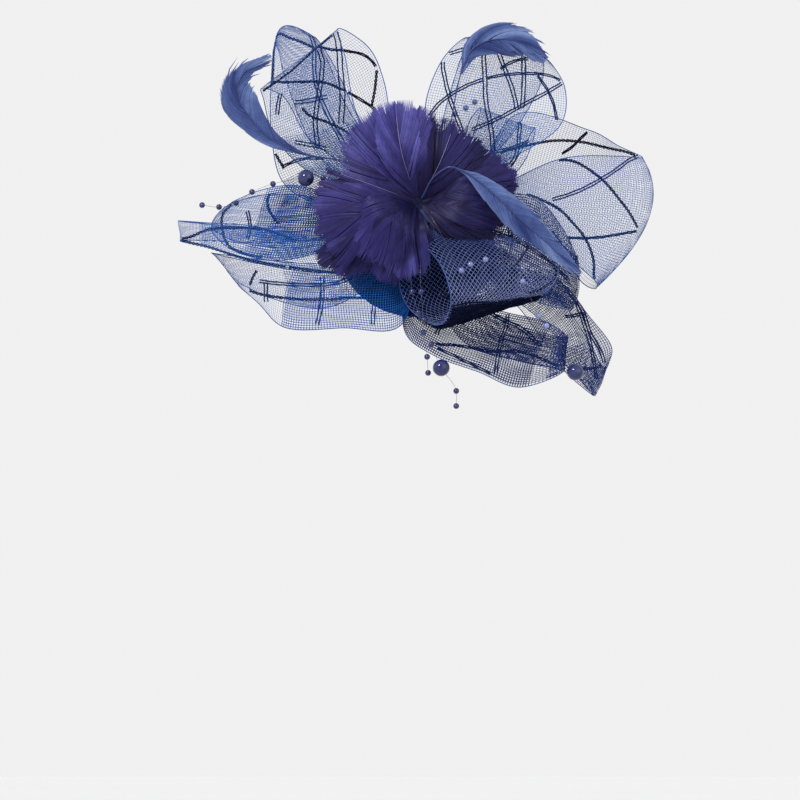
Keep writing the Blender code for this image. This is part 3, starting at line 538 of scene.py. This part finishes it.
class Ribbon:
    """The surface of one loop: a place is how far along it is, in metres, and its share across."""

    def __init__(self, loop, seed):
        sections = []
        for row in loop.rows:
            a = Vector((row.side_a * loop.reach, row.deep_a * loop.depth, row.up_a * loop.rise))
            b = Vector((row.side_b * loop.reach, row.deep_b * loop.depth, row.up_b * loop.rise))
            middle = (a + b) / 2
            out = Vector((middle.x, 0, middle.z)).normalized()
            sections.append((a, middle + row.bow * (a - b).length * out, b))
        for level, place in ((loop.front, 0), (loop.back, len(sections) + 1)):
            centre, along = at_post(loop.clock, level, CLEARANCE + CLOTH / 2)
            half = ROOT_WIDTH / 2 * along
            sections.insert(place, (centre + half, centre, centre - half))
        self.edge_a, self.middle, self.edge_b = np.swapaxes(np.array(sections), 0, 1)
        self.knots = knots_of(self.middle)
        self.length = self.knots[-1]
        self.widths = np.linalg.norm(self.edge_a - self.edge_b, axis=1)
        self.width = self.widths.max()
        self.phase = seed * 1.7

    def flat(self, along, across):
        edge_a, middle, edge_b = (
            smooth_curve(line, self.knots, along) for line in (self.edge_a, self.middle, self.edge_b)
        )
        v = across[:, None]
        return edge_a * (1 - v) * (1 - 2 * v) + middle * 4 * v * (1 - v) + edge_b * v * (2 * v - 1)

    def normal(self, along, across):
        step = 0.0005
        ahead = self.flat(np.minimum(along + step, self.length), across)
        behind = self.flat(np.maximum(along - step, 0.0), across)
        right = self.flat(along, np.minimum(across + 0.02, 1.0))
        left = self.flat(along, np.maximum(across - 0.02, 0.0))
        return unit(np.cross(ahead - behind, right - left))

    def at(self, along, across, lift=0.0):
        """Points and normals, with the gathers that run out from both roots. Any shape of input will do."""
        along, across = np.broadcast_arrays(np.asarray(along, float), np.asarray(across, float))
        shape = along.shape
        along = along.ravel()
        across = across.ravel()
        normal = self.normal(along, across)
        near_root = np.minimum(along, self.length - along)
        fade = np.clip(near_root / GATHER_START, 0, 1) * np.exp(-near_root / GATHER_FADE)
        gather = GATHER_DEPTH * fade * np.sin(2 * math.pi * GATHERS * across + self.phase)
        wave = np.sin(along / RIPPLE_LENGTH + 4 * across + self.phase)
        ripple = RIPPLE_DEPTH * np.clip(near_root / RIPPLE_START, 0, 1) * wave
        points = self.flat(along, across) + normal * (gather + ripple + lift)[:, None]
        return points.reshape(*shape, 3), normal.reshape(*shape, 3)

    def depth_of_dye(self, along):
        """The dye is deeper towards both roots."""
        near_root = np.minimum(along, self.length - along)
        return np.exp(-((near_root / DYE_REACH) ** 2))

    def trace(self, wall, route):
        """The places along and across that lie under a route of X and Z, on one wall of the loop."""
        route = np.array(route, float) / 1000
        knots = knots_of(route)
        fine = smooth_curve(route, knots, np.linspace(0, knots[-1], max(8, round(knots[-1] / ROUTE_STEP))))
        shares = np.linspace(*WALLS[wall], 160)
        along, across = np.meshgrid(shares * self.length, np.linspace(0.01, 0.99, 41), indexing="ij")
        points, _ = self.at(along, across)
        places = []
        last = None
        for x, z in fine:
            miss = (points[..., 0] - x) ** 2 + (points[..., 2] - z) ** 2
            if last is not None:
                stray = (along - last[0]) ** 2 + ((across - last[1]) * self.width) ** 2
                miss = miss + STRAY_COST * stray
            near = np.argsort(miss, axis=None)[:6]
            weight = 1 / (miss.ravel()[near] + 1e-8)
            last = (
                (along.ravel()[near] * weight).sum() / weight.sum(),
                (across.ravel()[near] * weight).sum() / weight.sum(),
            )
            places.append(last)
        places = np.array(places)
        kernel = np.ones(5) / 5
        padded = np.pad(places, ((2, 2), (0, 0)), mode="edge")
        return np.stack([np.convolve(padded[:, k], kernel, mode="valid") for k in range(2)], 1)


class Threads:
    """Open tubes gathered into one mesh, with a material number and a shade each."""

    def __init__(self):
        self.points = []
        self.faces = []
        self.kinds = []
        self.shades = []
        self.count = 0
        self.area = 0.0

    def add(self, lines, normals, radius, kind, shade, sides=3):
        """Lines that have the same number of points each, as (lines, points, 3)."""
        if lines.ndim == 2:
            lines = lines[None]
            normals = np.broadcast_to(normals, lines.shape)
        number, length = lines.shape[:2]
        along = unit(np.gradient(lines, axis=1))
        side = unit(np.cross(along, normals))
        top = np.cross(side, along)
        girth = 2 * sides * math.sin(math.pi / sides) * np.mean(radius)
        self.area += girth * np.linalg.norm(np.diff(lines, axis=1), axis=2).sum()
        turns = (np.arange(sides) * math.tau / sides + math.pi / 2)[:, None]
        ring = np.cos(turns) * side[:, :, None] + np.sin(turns) * top[:, :, None]
        radius = np.broadcast_to(radius, (number, length))[:, :, None, None]
        self.points.append((lines[:, :, None] + radius * ring).reshape(-1, 3))
        first = (np.arange(number) * length)[:, None] + np.arange(length - 1)
        corner = np.arange(sides)
        low = first[..., None] * sides + corner
        next_low = first[..., None] * sides + (corner + 1) % sides
        quads = np.stack([low, next_low, next_low + sides, low + sides], -1).reshape(-1, 4)
        self.close(quads, kind, np.repeat(np.broadcast_to(shade, (number, length)).ravel(), sides))

    def add_strips(self, left, right, kind, shade):
        """Flat strips between two lines each."""
        number, length = left.shape[:2]
        self.points.append(np.stack([left, right], 2).reshape(-1, 3))
        first = ((np.arange(number) * length)[:, None] + np.arange(length - 1)) * 2
        quads = np.stack([first, first + 1, first + 3, first + 2], -1).reshape(-1, 4)
        self.close(quads, kind, np.repeat(np.broadcast_to(shade, (number, length)).ravel(), 2))

    def close(self, quads, kind, shade):
        self.faces.append(quads + self.count)
        self.kinds.append(np.full(len(quads), kind))
        self.shades.append(shade)
        self.count += len(shade)

    def piece(self, name, materials):
        mesh = bpy.data.meshes.new(name)
        faces = np.concatenate(self.faces)
        mesh.vertices.add(self.count)
        mesh.vertices.foreach_set("co", np.concatenate(self.points).astype(np.float32).ravel())
        mesh.loops.add(faces.size)
        mesh.loops.foreach_set("vertex_index", faces.astype(np.int32).ravel())
        mesh.polygons.add(len(faces))
        mesh.polygons.foreach_set("loop_start", np.arange(0, faces.size, 4, dtype=np.int32))
        mesh.polygons.foreach_set("material_index", np.concatenate(self.kinds).astype(np.int32))
        mesh.update(calc_edges=True)
        shade = mesh.attributes.new("shade", "FLOAT", "POINT")
        shade.data.foreach_set("value", np.concatenate(self.shades).astype(np.float32))
        mesh.shade_smooth()
        for material in materials:
            mesh.materials.append(material)
        obj = bpy.data.objects.new(name, mesh)
        bpy.context.scene.collection.objects.link(obj)
        return obj


def steps(length, step):
    return np.linspace(0, length, max(4, round(length / step) + 1))


def weave(net, ribbon, start, end, width, pitch, share, lift, wander, bias=False):
    """Threads along and across a stretch of ribbon, or both ways on the bias.

    Wander lets a second layer cross the first. The threads are as thick as makes the whole net come to
    its share of the flat cloth's area."""
    if bias:
        reach = end - start
        offsets = np.arange(-width + pitch, reach, pitch * math.sqrt(2))[:, None]
        first = np.maximum(0.0, -offsets)
        last = np.minimum(width, reach - offsets)
        slide = first + (last - first) * np.linspace(0, 1, 26)[None, :]
        warp_places = (start + offsets + slide, slide / width)
        weft_places = (start + offsets + slide, 1 - slide / width)
    else:
        along = start + steps(end - start, ALONG_STEP)
        strands = round(width / pitch)
        across = np.arange(1, strands) / strands
        drift = wander * np.sin(along / 0.013 + ribbon.phase)
        warp_places = (along[None, :] + 0 * across[:, None], np.clip(across[:, None] + drift[None, :], 0, 1))
        rows = np.arange(start + pitch / 2, end, pitch)
        across = np.linspace(0, 1, max(7, round(ribbon.width / ACROSS_STEP)))
        drift = 3 * wander * ribbon.width * np.sin(4.5 * across + ribbon.phase)
        weft_places = (np.clip(rows[:, None] + drift[None, :], 0, ribbon.length), across[None, :])
    warp, warp_normals = ribbon.at(*warp_places, lift + OVER_AND_UNDER)
    weft, weft_normals = ribbon.at(*weft_places, lift - OVER_AND_UNDER)
    total = sum(np.linalg.norm(np.diff(lines, axis=1), axis=2).sum() for lines in (warp, weft))
    thread = (share * width * (end - start) - net.area) / (3 * math.sqrt(3) * total)
    net.add(warp, warp_normals, thread, 0, ribbon.depth_of_dye(warp_places[0]))
    net.add(weft, weft_normals, thread, 0, ribbon.depth_of_dye(weft_places[0]))


def lay_yarn(net, ribbon, yarn):
    """A pair of dark yarns, side by side or twisted round each other."""
    places = ribbon.trace(yarn.wall, yarn.route)
    centre, normals = ribbon.at(places[:, 0], places[:, 1], YARN_LIFT)
    knots = knots_of(centre)
    fine = np.linspace(0, knots[-1], max(12, round(knots[-1] / YARN_STEP)))
    line = smooth_curve(centre, knots, fine)
    normal = unit(smooth_curve(normals, knots, fine))
    side = unit(np.cross(unit(np.gradient(line, axis=0)), normal))
    turn = fine * math.tau / TWIST + ribbon.phase
    for hand in (-1, 1):
        if yarn.spread < TWISTED_UNDER:
            out = hand * TWIST_RADIUS * np.cos(turn)
            lift = hand * TWIST_LIFT * np.sin(turn)
        else:
            out = hand * yarn.spread / 2000 + 0.00008 * np.sin(turn / 2 + hand)
            lift = 0.00005 * np.sin(turn + hand)
        pair = line + side * np.broadcast_to(out, len(fine))[:, None] + normal * lift[:, None]
        net.add(pair, normal, CHECK_YARN, 1, 0.0, 4)


def add_ribbon(loop, ribbon, finishes):
    net = Threads()
    along = steps(ribbon.length, ALONG_STEP / 2)
    for edge in (0.0, 1.0):
        line, normal = ribbon.at(along, edge)
        net.add(line, normal, SELVAGE, 2, ribbon.depth_of_dye(along), 4)
    for yarn in YARNS[loop.name]:
        lay_yarn(net, ribbon, yarn)
    cone = loop.name == "front_cone_loop"
    pitch = CONE_PITCH if cone else NET_PITCH
    share = CONE_SHARE if cone else NET_SHARE
    weave(net, ribbon, 0.0, ribbon.length, ribbon.width, pitch, share, 0.0, 0.0, cone)
    # The cone's thread finish carries painted highlight in its pale colour.
    thread = "pale_cone_net_with_painted_highlight" if cone else f"{loop.finish}_net"
    worn = [finishes[name] for name in (thread, "yarn", f"{loop.finish}_edge")]
    piece = net.piece(f"{loop.name}_net", worn)
    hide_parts(loop.name)
    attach(piece, "root")


def add_lining(lining, number, ribbon, finishes):
    net = Threads()
    start = lining.start * ribbon.length
    end = lining.end * ribbon.length
    width = np.interp(steps(end - start, ALONG_STEP) + start, ribbon.knots, ribbon.widths).max()
    share = LINING_SHARES[lining.finish]
    weave(net, ribbon, start, end, width, LINING_PITCH, share, -lining.inside / 1000, LINING_WANDER)
    piece = net.piece(f"{lining.loop}_lining_{number}", [finishes[f"{lining.finish}_net"]])
    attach(piece, "root")


def add_vane(net, spine, normals, halves, rng, look):
    """The barbs of one feather. They leave the shaft at a slant and close into a smooth vane.

    In its look, splits and wisps are shares of the barbs, sweep and tip lag say how far back a barb
    starts, and the foot entry is the share of the length over which painted shade deepens the colour towards
    the foot."""
    knots = knots_of(spine)
    length = knots[-1]
    along = unit(np.gradient(spine, axis=0))
    out = unit(np.cross(normals, along))
    broad = halves.max()
    count = look["barbs"]
    for hand in (-1, 1):
        u = (np.arange(count) + rng.uniform(-0.35, 0.35, count)) / (count - 1)
        u = np.clip(u, 0.01, 1.0)
        group = np.cumsum(rng.random(count) < look["splits"])
        members = [u[group == number] for number in range(group[-1] + 1)]
        centres = np.array([places.mean() if len(places) else 0.0 for places in members])
        closed = centres[group] + (u - centres[group]) * look["closing"]
        ends = np.sin(closed * math.pi / 2)
        uneven = rng.normal(1.0, look["ragged"], group[-1] + 1)[group] * rng.normal(1.0, 0.012, count)
        uneven = uneven * np.where(rng.random(count) < look["wisps"], 1.13, 1.0)
        reach = np.interp(ends * length, knots, halves) * uneven
        end = np.clip(ends * uneven**0.4, 0, 1.0) * length
        lag = look["sweep"] * reach + look["tip_lag"] * broad * u**3
        start = np.clip(u_start(u) * length - lag, 0.0, None)
        t = np.linspace(0, 1, look["bends"])[None, :]
        start = start[:, None]
        end = end[:, None]
        reach = reach[:, None]
        place = (1 - t) ** 2 * start + 2 * t * (1 - t) * (start + BARB_LEAN * (end - start)) + t * t * end
        wide = 2 * t * (1 - t) * BARB_REACH * reach + t * t * reach
        centre = np.stack([np.interp(place, knots, spine[:, k]) for k in range(3)], -1)
        over = unit(np.stack([np.interp(place, knots, out[:, k]) for k in range(3)], -1))
        up = unit(np.stack([np.interp(place, knots, normals[:, k]) for k in range(3)], -1))
        uneven_lift = BARB_UNEVEN * rng.normal(size=group[-1] + 1)[group]
        lift = -look["cup"] * wide**2 / broad + uneven_lift[:, None] * t
        lift = lift + look["wave"] * np.sin(place / BARB_WAVE + 2 * hand) * (wide / broad)
        lines = centre + hand * over * wide[..., None] + up * lift[..., None]
        roll = rng.normal(0, 0.12, count)[:, None, None]
        side = unit(np.cross(unit(np.gradient(lines, axis=1)), up))
        side = side * np.cos(roll) + up * np.sin(roll)
        widths = look["width"] * np.interp(t, [0, 0.2, 0.75, 0.93, 1.0], [0.5, 0.9, 1.0, 0.6, 0.1])
        half = side * (widths[..., None] / 2)
        slow = np.interp(u, np.linspace(0, 1, 14), rng.normal(0, 0.16, 14))
        tone = look["tone"] * (0.50 + 0.50 * t) + slow[:, None] * look["streaks"]
        tone = tone + rng.normal(0, 0.05, count)[:, None] * look["streaks"]
        # Painted shade: the colour darkens towards the feather's foot, as where the flower's feathers crowd
        # at its centre.
        tone = tone * np.clip(0.25 + place / length / look["shaded_foot"], 0, 1)
        net.add_strips(lines - half, lines + half, 0, np.clip(tone, 0, 1))


def u_start(u):
    """Where a barb would leave the shaft if it went straight out to its place on the outline."""
    return np.sin(u * math.pi / 2)


def add_loose_feather(feather, number, finishes):
    rng = np.random.default_rng(40 + number)
    start = np.array(start_of(feather.start, CLEARANCE + 0.0005))
    points = [start]
    halves = [0.0]
    for row in feather.rows:
        points.append(np.array((row.side * feather.reach, row.deep * feather.depth, row.up * feather.rise)))
        halves.append(row.width * feather.width / 2)
    points = np.array(points)
    knots = knots_of(points)
    places = np.linspace(0, knots[-1], 90)
    spine = smooth_curve(points, knots, places)
    halves = smooth_curve(np.array(halves)[:, None], knots, places)[:, 0].clip(0)
    along = unit(np.gradient(spine, axis=0))
    front = np.array([0.0, -1.0, 0.0])
    normals = unit(front - along * (along @ front)[:, None])
    net = Threads()
    look = {
        "barbs": 300, "splits": 0.045, "closing": 0.88, "ragged": 0.05, "sweep": 2.1, "tip_lag": 1.6,
        "bends": 8, "wisps": 0.03, "cup": 0.22, "wave": 0.0003, "width": 0.00072, "tone": 0.66,
        "streaks": 1.7, "shaded_foot": 0.01,
    }
    for lift, share in ((0.0, 1.0), (-LAYER_GAP, 0.92)):
        add_vane(net, spine + lift * normals, normals, halves * share, rng, look)
    radius = np.interp(np.linspace(0, 1, 90), [0, 0.4, 1], [0.00050, 0.00036, 0.00010])
    net.add(spine + 0.0003 * normals, normals, radius, 1, np.linspace(0, 1, 90), 5)
    piece = net.piece(f"{feather.name}_plume", [finishes["sky"], finishes["sky_shaft"]])
    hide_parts(feather.name)
    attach(piece, "root")


def add_flower(finishes):
    """Broad trimmed feathers in two thin layers each, that overlap into the flower's lobes."""
    rng = np.random.default_rng(7)
    net = Threads()
    quills = Threads()
    centre = np.array(FLOWER_CENTRE)
    shares = np.linspace(0, 1, 36)
    bend = np.arcsin(shares) * 2 / math.pi
    outline = np.sin(math.pi * np.clip(bend, 0, 1) ** 1.2).clip(0) ** 0.75
    for row in PLUMES:
        middle = np.array((row.mid_side, -row.mid_fore, row.mid_up)) * FLOWER_REACH
        tip = np.array((row.tip_side, -row.tip_fore, row.tip_up)) * FLOWER_REACH
        foot = 0.5 * FLOWER_HEAD_RADIUS * unit(middle)
        for layer in range(2):
            jitter = rng.normal(0, PETAL_JITTER, 3) * layer
            points = centre + np.array([foot, middle + jitter, (tip + 1.6 * jitter) * (1 - 0.07 * layer)])
            knots = knots_of(points)
            spine = smooth_curve(points, knots, shares * knots[-1])
            along = unit(np.gradient(spine, axis=0))
            front = unit(np.array([rng.normal(0, 0.10), -1.0, 0.22 + rng.normal(0, 0.10)]))
            normals = unit(front - along * (along @ front)[:, None])
            halves = outline * row.breadth * PETAL_WIDTH / 2 * (1 - 0.08 * layer)
            spine = spine - (PETAL_LAYER_GAP * layer) * normals
            # The plume's tone is painted light and shade as well as colour, and its foot is darkened as
            # painted shade at the flower's centre.
            look = {
                "barbs": 155, "splits": 0.075, "closing": 0.90, "ragged": 0.055, "sweep": 2.0,
                "tip_lag": 1.3, "bends": 7, "wisps": 0.08, "cup": 0.34, "wave": 0.0004, "width": 0.00062,
                "tone": row.tone * (0.85 if layer else 1.0), "streaks": 0.85 * (0.35 + row.tone),
                "shaded_foot": 0.75,
            }
            add_vane(net, spine, normals, halves, rng, look)
            if row.quill and not layer:
                upper = (spine + 0.0005 * normals)[7:30]
                radius = np.linspace(0.00020, 0.00007, 23)
                quills.add(upper, normals[7:30], radius, 0, np.linspace(0.1, 1, 23), 5)
    plumes = net.piece("flower_plumes", [finishes["violet"]])
    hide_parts("feather_flower")
    shafts = quills.piece("flower_shafts", [finishes["violet_shaft"]])
    for piece in (plumes, shafts):
        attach(piece, "root")


def bead_at(name, place, radius, along):
    """A round pearl, a little flattened at each end where the thread passes through."""
    deselect()
    bpy.ops.mesh.primitive_uv_sphere_add(segments=20, ring_count=12, radius=radius, location=(0, 0, 0))
    bead = bpy.context.object
    bead.name = name
    for vertex in bead.data.vertices:
        height = abs(vertex.co.z) / radius
        if height > 0.9:
            vertex.co.z *= 1 - 0.45 * (height - 0.9)
    turn = Vector((0, 0, 1)).rotation_difference(Vector(along))
    bead.data.transform(turn.to_matrix().to_4x4())
    bead.data.transform(Matrix.Translation(Vector(place)))
    bead.data.shade_smooth()
    return bead


def add_spray(spray, finishes):
    start = np.array(start_of(spray.start, CLEARANCE + 0.0004))
    stops = [Stop(*start, 0), *spray.stops]
    places = np.array([stop[:3] for stop in stops])
    knots = knots_of(places)
    fine = np.linspace(0, knots[-1], 160)
    line = smooth_curve(places, knots, fine)
    along = unit(np.gradient(line, axis=0))
    normals = unit(np.cross(along, np.array([0.0, 0.0, 1.0])) + 1e-6)
    threads = Threads()
    threads.add(line, normals, BEAD_THREAD, 0, 0.0, 5)
    wire = threads.piece(f"{spray.name}_wire", [finishes["wire"]])
    beads = []
    for number, stop in enumerate(stops):
        if stop.bead:
            nearest = along[np.argmin(np.abs(fine - knots[number]))]
            beads.append(bead_at(f"{spray.name}_bead", stop[:3], stop.bead, nearest))
    for bead in beads:
        small = bead.dimensions.x < LARGE_PEARL
        # The small beads on the cone and inner strands get a pale finish, partly their own colour and partly
        # painted highlight.
        bright = small and spray.name in ("cone_bead_strand", "inner_bead_strand")
        bead.data.materials.append(finishes["sparkle" if bright else "pearl"])
    deselect()
    for bead in beads:
        bead.select_set(True)
    bpy.context.view_layer.objects.active = beads[0]
    bpy.ops.object.join()
    joined = bpy.context.object
    joined.name = f"{spray.name}_beads"
    deselect()
    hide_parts(spray.name)
    for piece in (joined, wire):
        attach(piece, "root")


class Finish:
    """A material in the making, round its Principled shader."""

    def __init__(self, name):
        self.material = bpy.data.materials.new(name)
        self.material.use_nodes = True
        self.nodes = self.material.node_tree.nodes
        self.links = self.material.node_tree.links
        self.shader = self.nodes["Principled BSDF"]

    def ramp(self, source, colours):
        node = self.nodes.new("ShaderNodeValToRGB")
        stops = node.color_ramp.elements
        stops[0].position = colours[0][0]
        stops[0].color = (*colours[0][1], 1)
        stops[1].position = colours[-1][0]
        stops[1].color = (*colours[-1][1], 1)
        for position, colour in colours[1:-1]:
            stops.new(position).color = (*colour, 1)
        self.links.new(source, node.inputs["Fac"])
        return node.outputs["Color"]

    def shade(self):
        node = self.nodes.new("ShaderNodeAttribute")
        node.attribute_name = "shade"
        return node.outputs["Fac"]

    def place(self, socket, value):
        """Object coordinates, with one setting of a Mapping node."""
        mapping = self.nodes.new("ShaderNodeMapping")
        mapping.inputs[socket].default_value = value
        where = self.nodes.new("ShaderNodeTexCoord")
        self.links.new(where.outputs["Object"], mapping.inputs["Vector"])
        return mapping.outputs["Vector"]

    def noise(self, scale, detail=3.0, stretch=(1, 1, 1)):
        grain = self.nodes.new("ShaderNodeTexNoise")
        grain.inputs["Scale"].default_value = scale
        grain.inputs["Detail"].default_value = detail
        self.links.new(self.place("Scale", stretch), grain.inputs["Vector"])
        return grain.outputs["Fac"]

    def multiply(self, first, second):
        node = self.nodes.new("ShaderNodeMix")
        node.data_type = "RGBA"
        node.blend_type = "MULTIPLY"
        node.inputs["Factor"].default_value = 1.0
        self.links.new(first, node.inputs["A"])
        self.links.new(second, node.inputs["B"])
        return node.outputs["Result"]

    def surface(self, colour, rough, gloss=0.5, tint=WHITE):
        self.links.new(colour, self.shader.inputs["Base Color"])
        self.shader.inputs["Roughness"].default_value = rough
        self.shader.inputs["Specular IOR Level"].default_value = gloss
        self.shader.inputs["Specular Tint"].default_value = (*tint, 1)

    def bump(self, height, strength, distance):
        node = self.nodes.new("ShaderNodeBump")
        node.inputs["Strength"].default_value = strength
        node.inputs["Distance"].default_value = distance
        self.links.new(height, node.inputs["Height"])
        self.links.new(node.outputs["Normal"], self.shader.inputs["Normal"])


def crinoline(name, dye):
    """Nylon thread: a glossy filament whose dye deepens where the ribbon gathers at its root. The near-black
    thread inside the cone is painted shadow, and the cone's own pale thread is partly painted highlight.
    """
    finish = Finish(name)
    depth = finish.ramp(finish.shade(), [(0.0, dye.far), (0.30, dye.middle), (0.75, dye.root)])
    cloudy = finish.ramp(finish.noise(60.0), [(0.35, (0.72, 0.74, 0.78)), (0.7, WHITE)])
    finish.surface(finish.multiply(depth, cloudy), dye.rough, dye.gloss, (0.55, 0.70, 1.0))
    finish.bump(finish.noise(4000.0, 2.0), 0.2, 0.0001)
    return finish.material


def yarn_finish():
    """Spun yarn, nearly black, with a little fluff."""
    finish = Finish("check_yarn")
    fibre = finish.noise(900.0)
    colour = finish.ramp(fibre, [(0.3, (0.002, 0.003, 0.014)), (0.7, (0.007, 0.009, 0.036))])
    finish.surface(colour, 0.75, 0.1)
    finish.bump(finish.noise(5000.0, 3.0), 0.5, 0.0002)
    return finish.material


def feather_finish(name, tones, gloss):
    """Barbs run from a dark foot to a paler tip, with streaks of their own and a soft sheen. The darker foot
    is painted shade, and on the flower each plume's tone adds painted light and shade.
    """
    finish = Finish(name)
    tone = finish.ramp(finish.shade(), list(zip((0.0, 0.5, 1.0), tones)))
    streak = finish.ramp(finish.noise(260.0, 4.0), [(0.32, (0.74, 0.74, 0.78)), (0.68, WHITE)])
    finish.surface(finish.multiply(tone, streak), 0.42, gloss, (0.62, 0.60, 1.0))
    finish.bump(finish.noise(2500.0, 2.0), 0.3, 0.0001)
    return finish.material


def shaft_finish(name, foot, tip):
    finish = Finish(name)
    finish.surface(finish.ramp(finish.shade(), [(0.0, foot), (1.0, tip)]), 0.3)
    finish.bump(finish.noise(1800.0), 0.2, 0.0001)
    return finish.material


def pearl_finish(name, dark, pale, gloss):
    """A dyed pearl: a dark blue body under a clear gloss, with faint cloudy nacre. The pale small beads'
    body colour is partly painted highlight.
    """
    finish = Finish(name)
    nacre = finish.noise(300.0)
    finish.surface(finish.ramp(nacre, [(0.3, dark), (0.7, pale)]), 0.10, gloss, (0.75, 0.80, 1.0))
    return finish.material


def wire_finish():
    finish = Finish("clear_thread")
    tint = finish.noise(500.0)
    finish.surface(finish.ramp(tint, [(0.3, (0.02, 0.025, 0.07)), (0.7, (0.05, 0.06, 0.13))]), 0.2)
    return finish.material


def felt_finish():
    finish = Finish("pressed_felt")
    fibre = finish.noise(700.0, 6.0)
    colour = finish.ramp(fibre, [(0.3, (0.003, 0.005, 0.020)), (0.7, (0.009, 0.014, 0.050))])
    finish.surface(colour, 0.95, 0.05)
    finish.bump(fibre, 0.7, 0.0006)
    return finish.material


def wound_thread_finish():
    """Sewing thread wound round the post: fine rings across its length."""
    finish = Finish("wound_thread")
    rings = finish.nodes.new("ShaderNodeTexWave")
    rings.bands_direction = "Z"
    rings.inputs["Scale"].default_value = 420.0
    rings.inputs["Distortion"].default_value = 1.5
    along_post = finish.place("Rotation", (FACE_LIFT - math.pi / 2, 0, 0))
    finish.links.new(along_post, rings.inputs["Vector"])
    turns = rings.outputs["Fac"]
    colour = finish.ramp(turns, [(0.2, (0.006, 0.012, 0.060)), (0.8, (0.022, 0.040, 0.170))])
    finish.surface(colour, 0.7)
    finish.bump(turns, 0.8, 0.0004)
    return finish.material


def steel_finish():
    """Brushed spring steel, drawn out along the clip."""
    finish = Finish("spring_steel")
    drawn = finish.noise(900.0, 3.0, (0.05, 1, 1))
    finish.surface(finish.ramp(drawn, [(0.3, (0.42, 0.43, 0.45)), (0.7, (0.66, 0.67, 0.69))]), 0.32)
    finish.shader.inputs["Metallic"].default_value = 1.0
    finish.bump(drawn, 0.2, 0.0001)
    return finish.material


def dress(node, material):
    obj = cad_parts[node]
    obj.data.materials.clear()
    obj.data.materials.append(material)


def add_studio():
    """A pale floor lit as bright as the background, a narrow key light and a broad fill."""
    deselect()
    bpy.ops.mesh.primitive_plane_add(size=9.0, location=(0, 0, FLOOR_LEVEL))
    floor = bpy.context.object
    floor.name = "studio_floor"
    finish = Finish("pale_floor")
    mottle = finish.noise(3.0)
    tone = finish.ramp(mottle, [(0.3, (0.636, 0.636, 0.638)), (0.7, (0.644, 0.644, 0.646))])
    finish.surface(tone, 0.9)
    floor.data.materials.append(finish.material)
    world = bpy.data.worlds.new("soft_studio")
    bpy.context.scene.world = world
    world.use_nodes = True
    background = world.node_tree.nodes["Background"]
    background.inputs["Color"].default_value = (0.875, 0.875, 0.875, 1)
    background.inputs["Strength"].default_value = 1.0
    for name, place, wide, strength in (
        ("key", (-0.55, -0.85, 0.75), 12, 2.2),
        ("fill", (0.90, -0.80, 0.35), 60, 0.8),
    ):
        data = bpy.data.lights.new(name, "SUN")
        data.angle = math.radians(wide)
        data.energy = strength
        lamp = bpy.data.objects.new(name, data)
        lamp.location = place
        lamp.rotation_euler = Vector(place).to_track_quat("Z", "Y").to_euler()
        bpy.context.scene.collection.objects.link(lamp)
    data = bpy.data.cameras.new("photo_camera")
    data.lens = SENSOR * CAMERA_AWAY / PHOTO_WIDTH
    data.clip_start = 0.05
    camera = bpy.data.objects.new("photo_camera", data)
    camera.location = (-0.009, -0.020 - CAMERA_AWAY, -0.0775)
    camera.rotation_euler = (math.radians(90), 0, 0)
    bpy.context.scene.collection.objects.link(camera)
    bpy.context.scene.camera = camera
    bpy.context.scene.view_settings.view_transform = "Standard"


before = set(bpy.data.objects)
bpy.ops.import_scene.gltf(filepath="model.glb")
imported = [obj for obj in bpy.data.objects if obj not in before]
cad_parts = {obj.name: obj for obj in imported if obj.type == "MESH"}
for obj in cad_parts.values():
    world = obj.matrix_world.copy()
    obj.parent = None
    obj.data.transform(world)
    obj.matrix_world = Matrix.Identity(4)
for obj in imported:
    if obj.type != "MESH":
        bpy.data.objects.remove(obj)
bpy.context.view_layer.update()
finishes = {name: crinoline(name, dye) for name, dye in DYES.items()}
finishes |= {
    "yarn": yarn_finish(),
    "violet": feather_finish(
        "violet_feather", ((0.004, 0.003, 0.018), (0.026, 0.022, 0.120), (0.085, 0.078, 0.300)), 0.18
    ),
    "violet_shaft": shaft_finish("violet_shaft", (0.030, 0.025, 0.090), (0.26, 0.24, 0.46)),
    "sky": feather_finish(
        "sky_feather", ((0.018, 0.030, 0.120), (0.060, 0.095, 0.250), (0.150, 0.210, 0.400)), 0.20
    ),
    "sky_shaft": shaft_finish("sky_shaft", (0.020, 0.030, 0.120), (0.025, 0.040, 0.170)),
    "pearl": pearl_finish("dark_pearl", (0.008, 0.010, 0.045), (0.026, 0.032, 0.125), 0.6),
    # Pale bead finish: partly the beads' own colour, partly painted highlight for their glints.
    "sparkle": pearl_finish("pale_glint_pearl", (0.060, 0.080, 0.220), (0.200, 0.240, 0.440), 1.0),
    "wire": wire_finish(),
}
dress("base", felt_finish())
dress("post", wound_thread_finish())
dress("hair_clip", steel_finish())
ribbons = {}
for number, loop in enumerate(LOOPS):
    ribbons[loop.name] = Ribbon(loop, number)
    add_ribbon(loop, ribbons[loop.name], finishes)
for number, lining in enumerate(LININGS):
    add_lining(lining, number, ribbons[lining.loop], finishes)
add_flower(finishes)
for number, feather in enumerate(FEATHERS):
    add_loose_feather(feather, number, finishes)
for spray in SPRAYS:
    add_spray(spray, finishes)
add_studio()
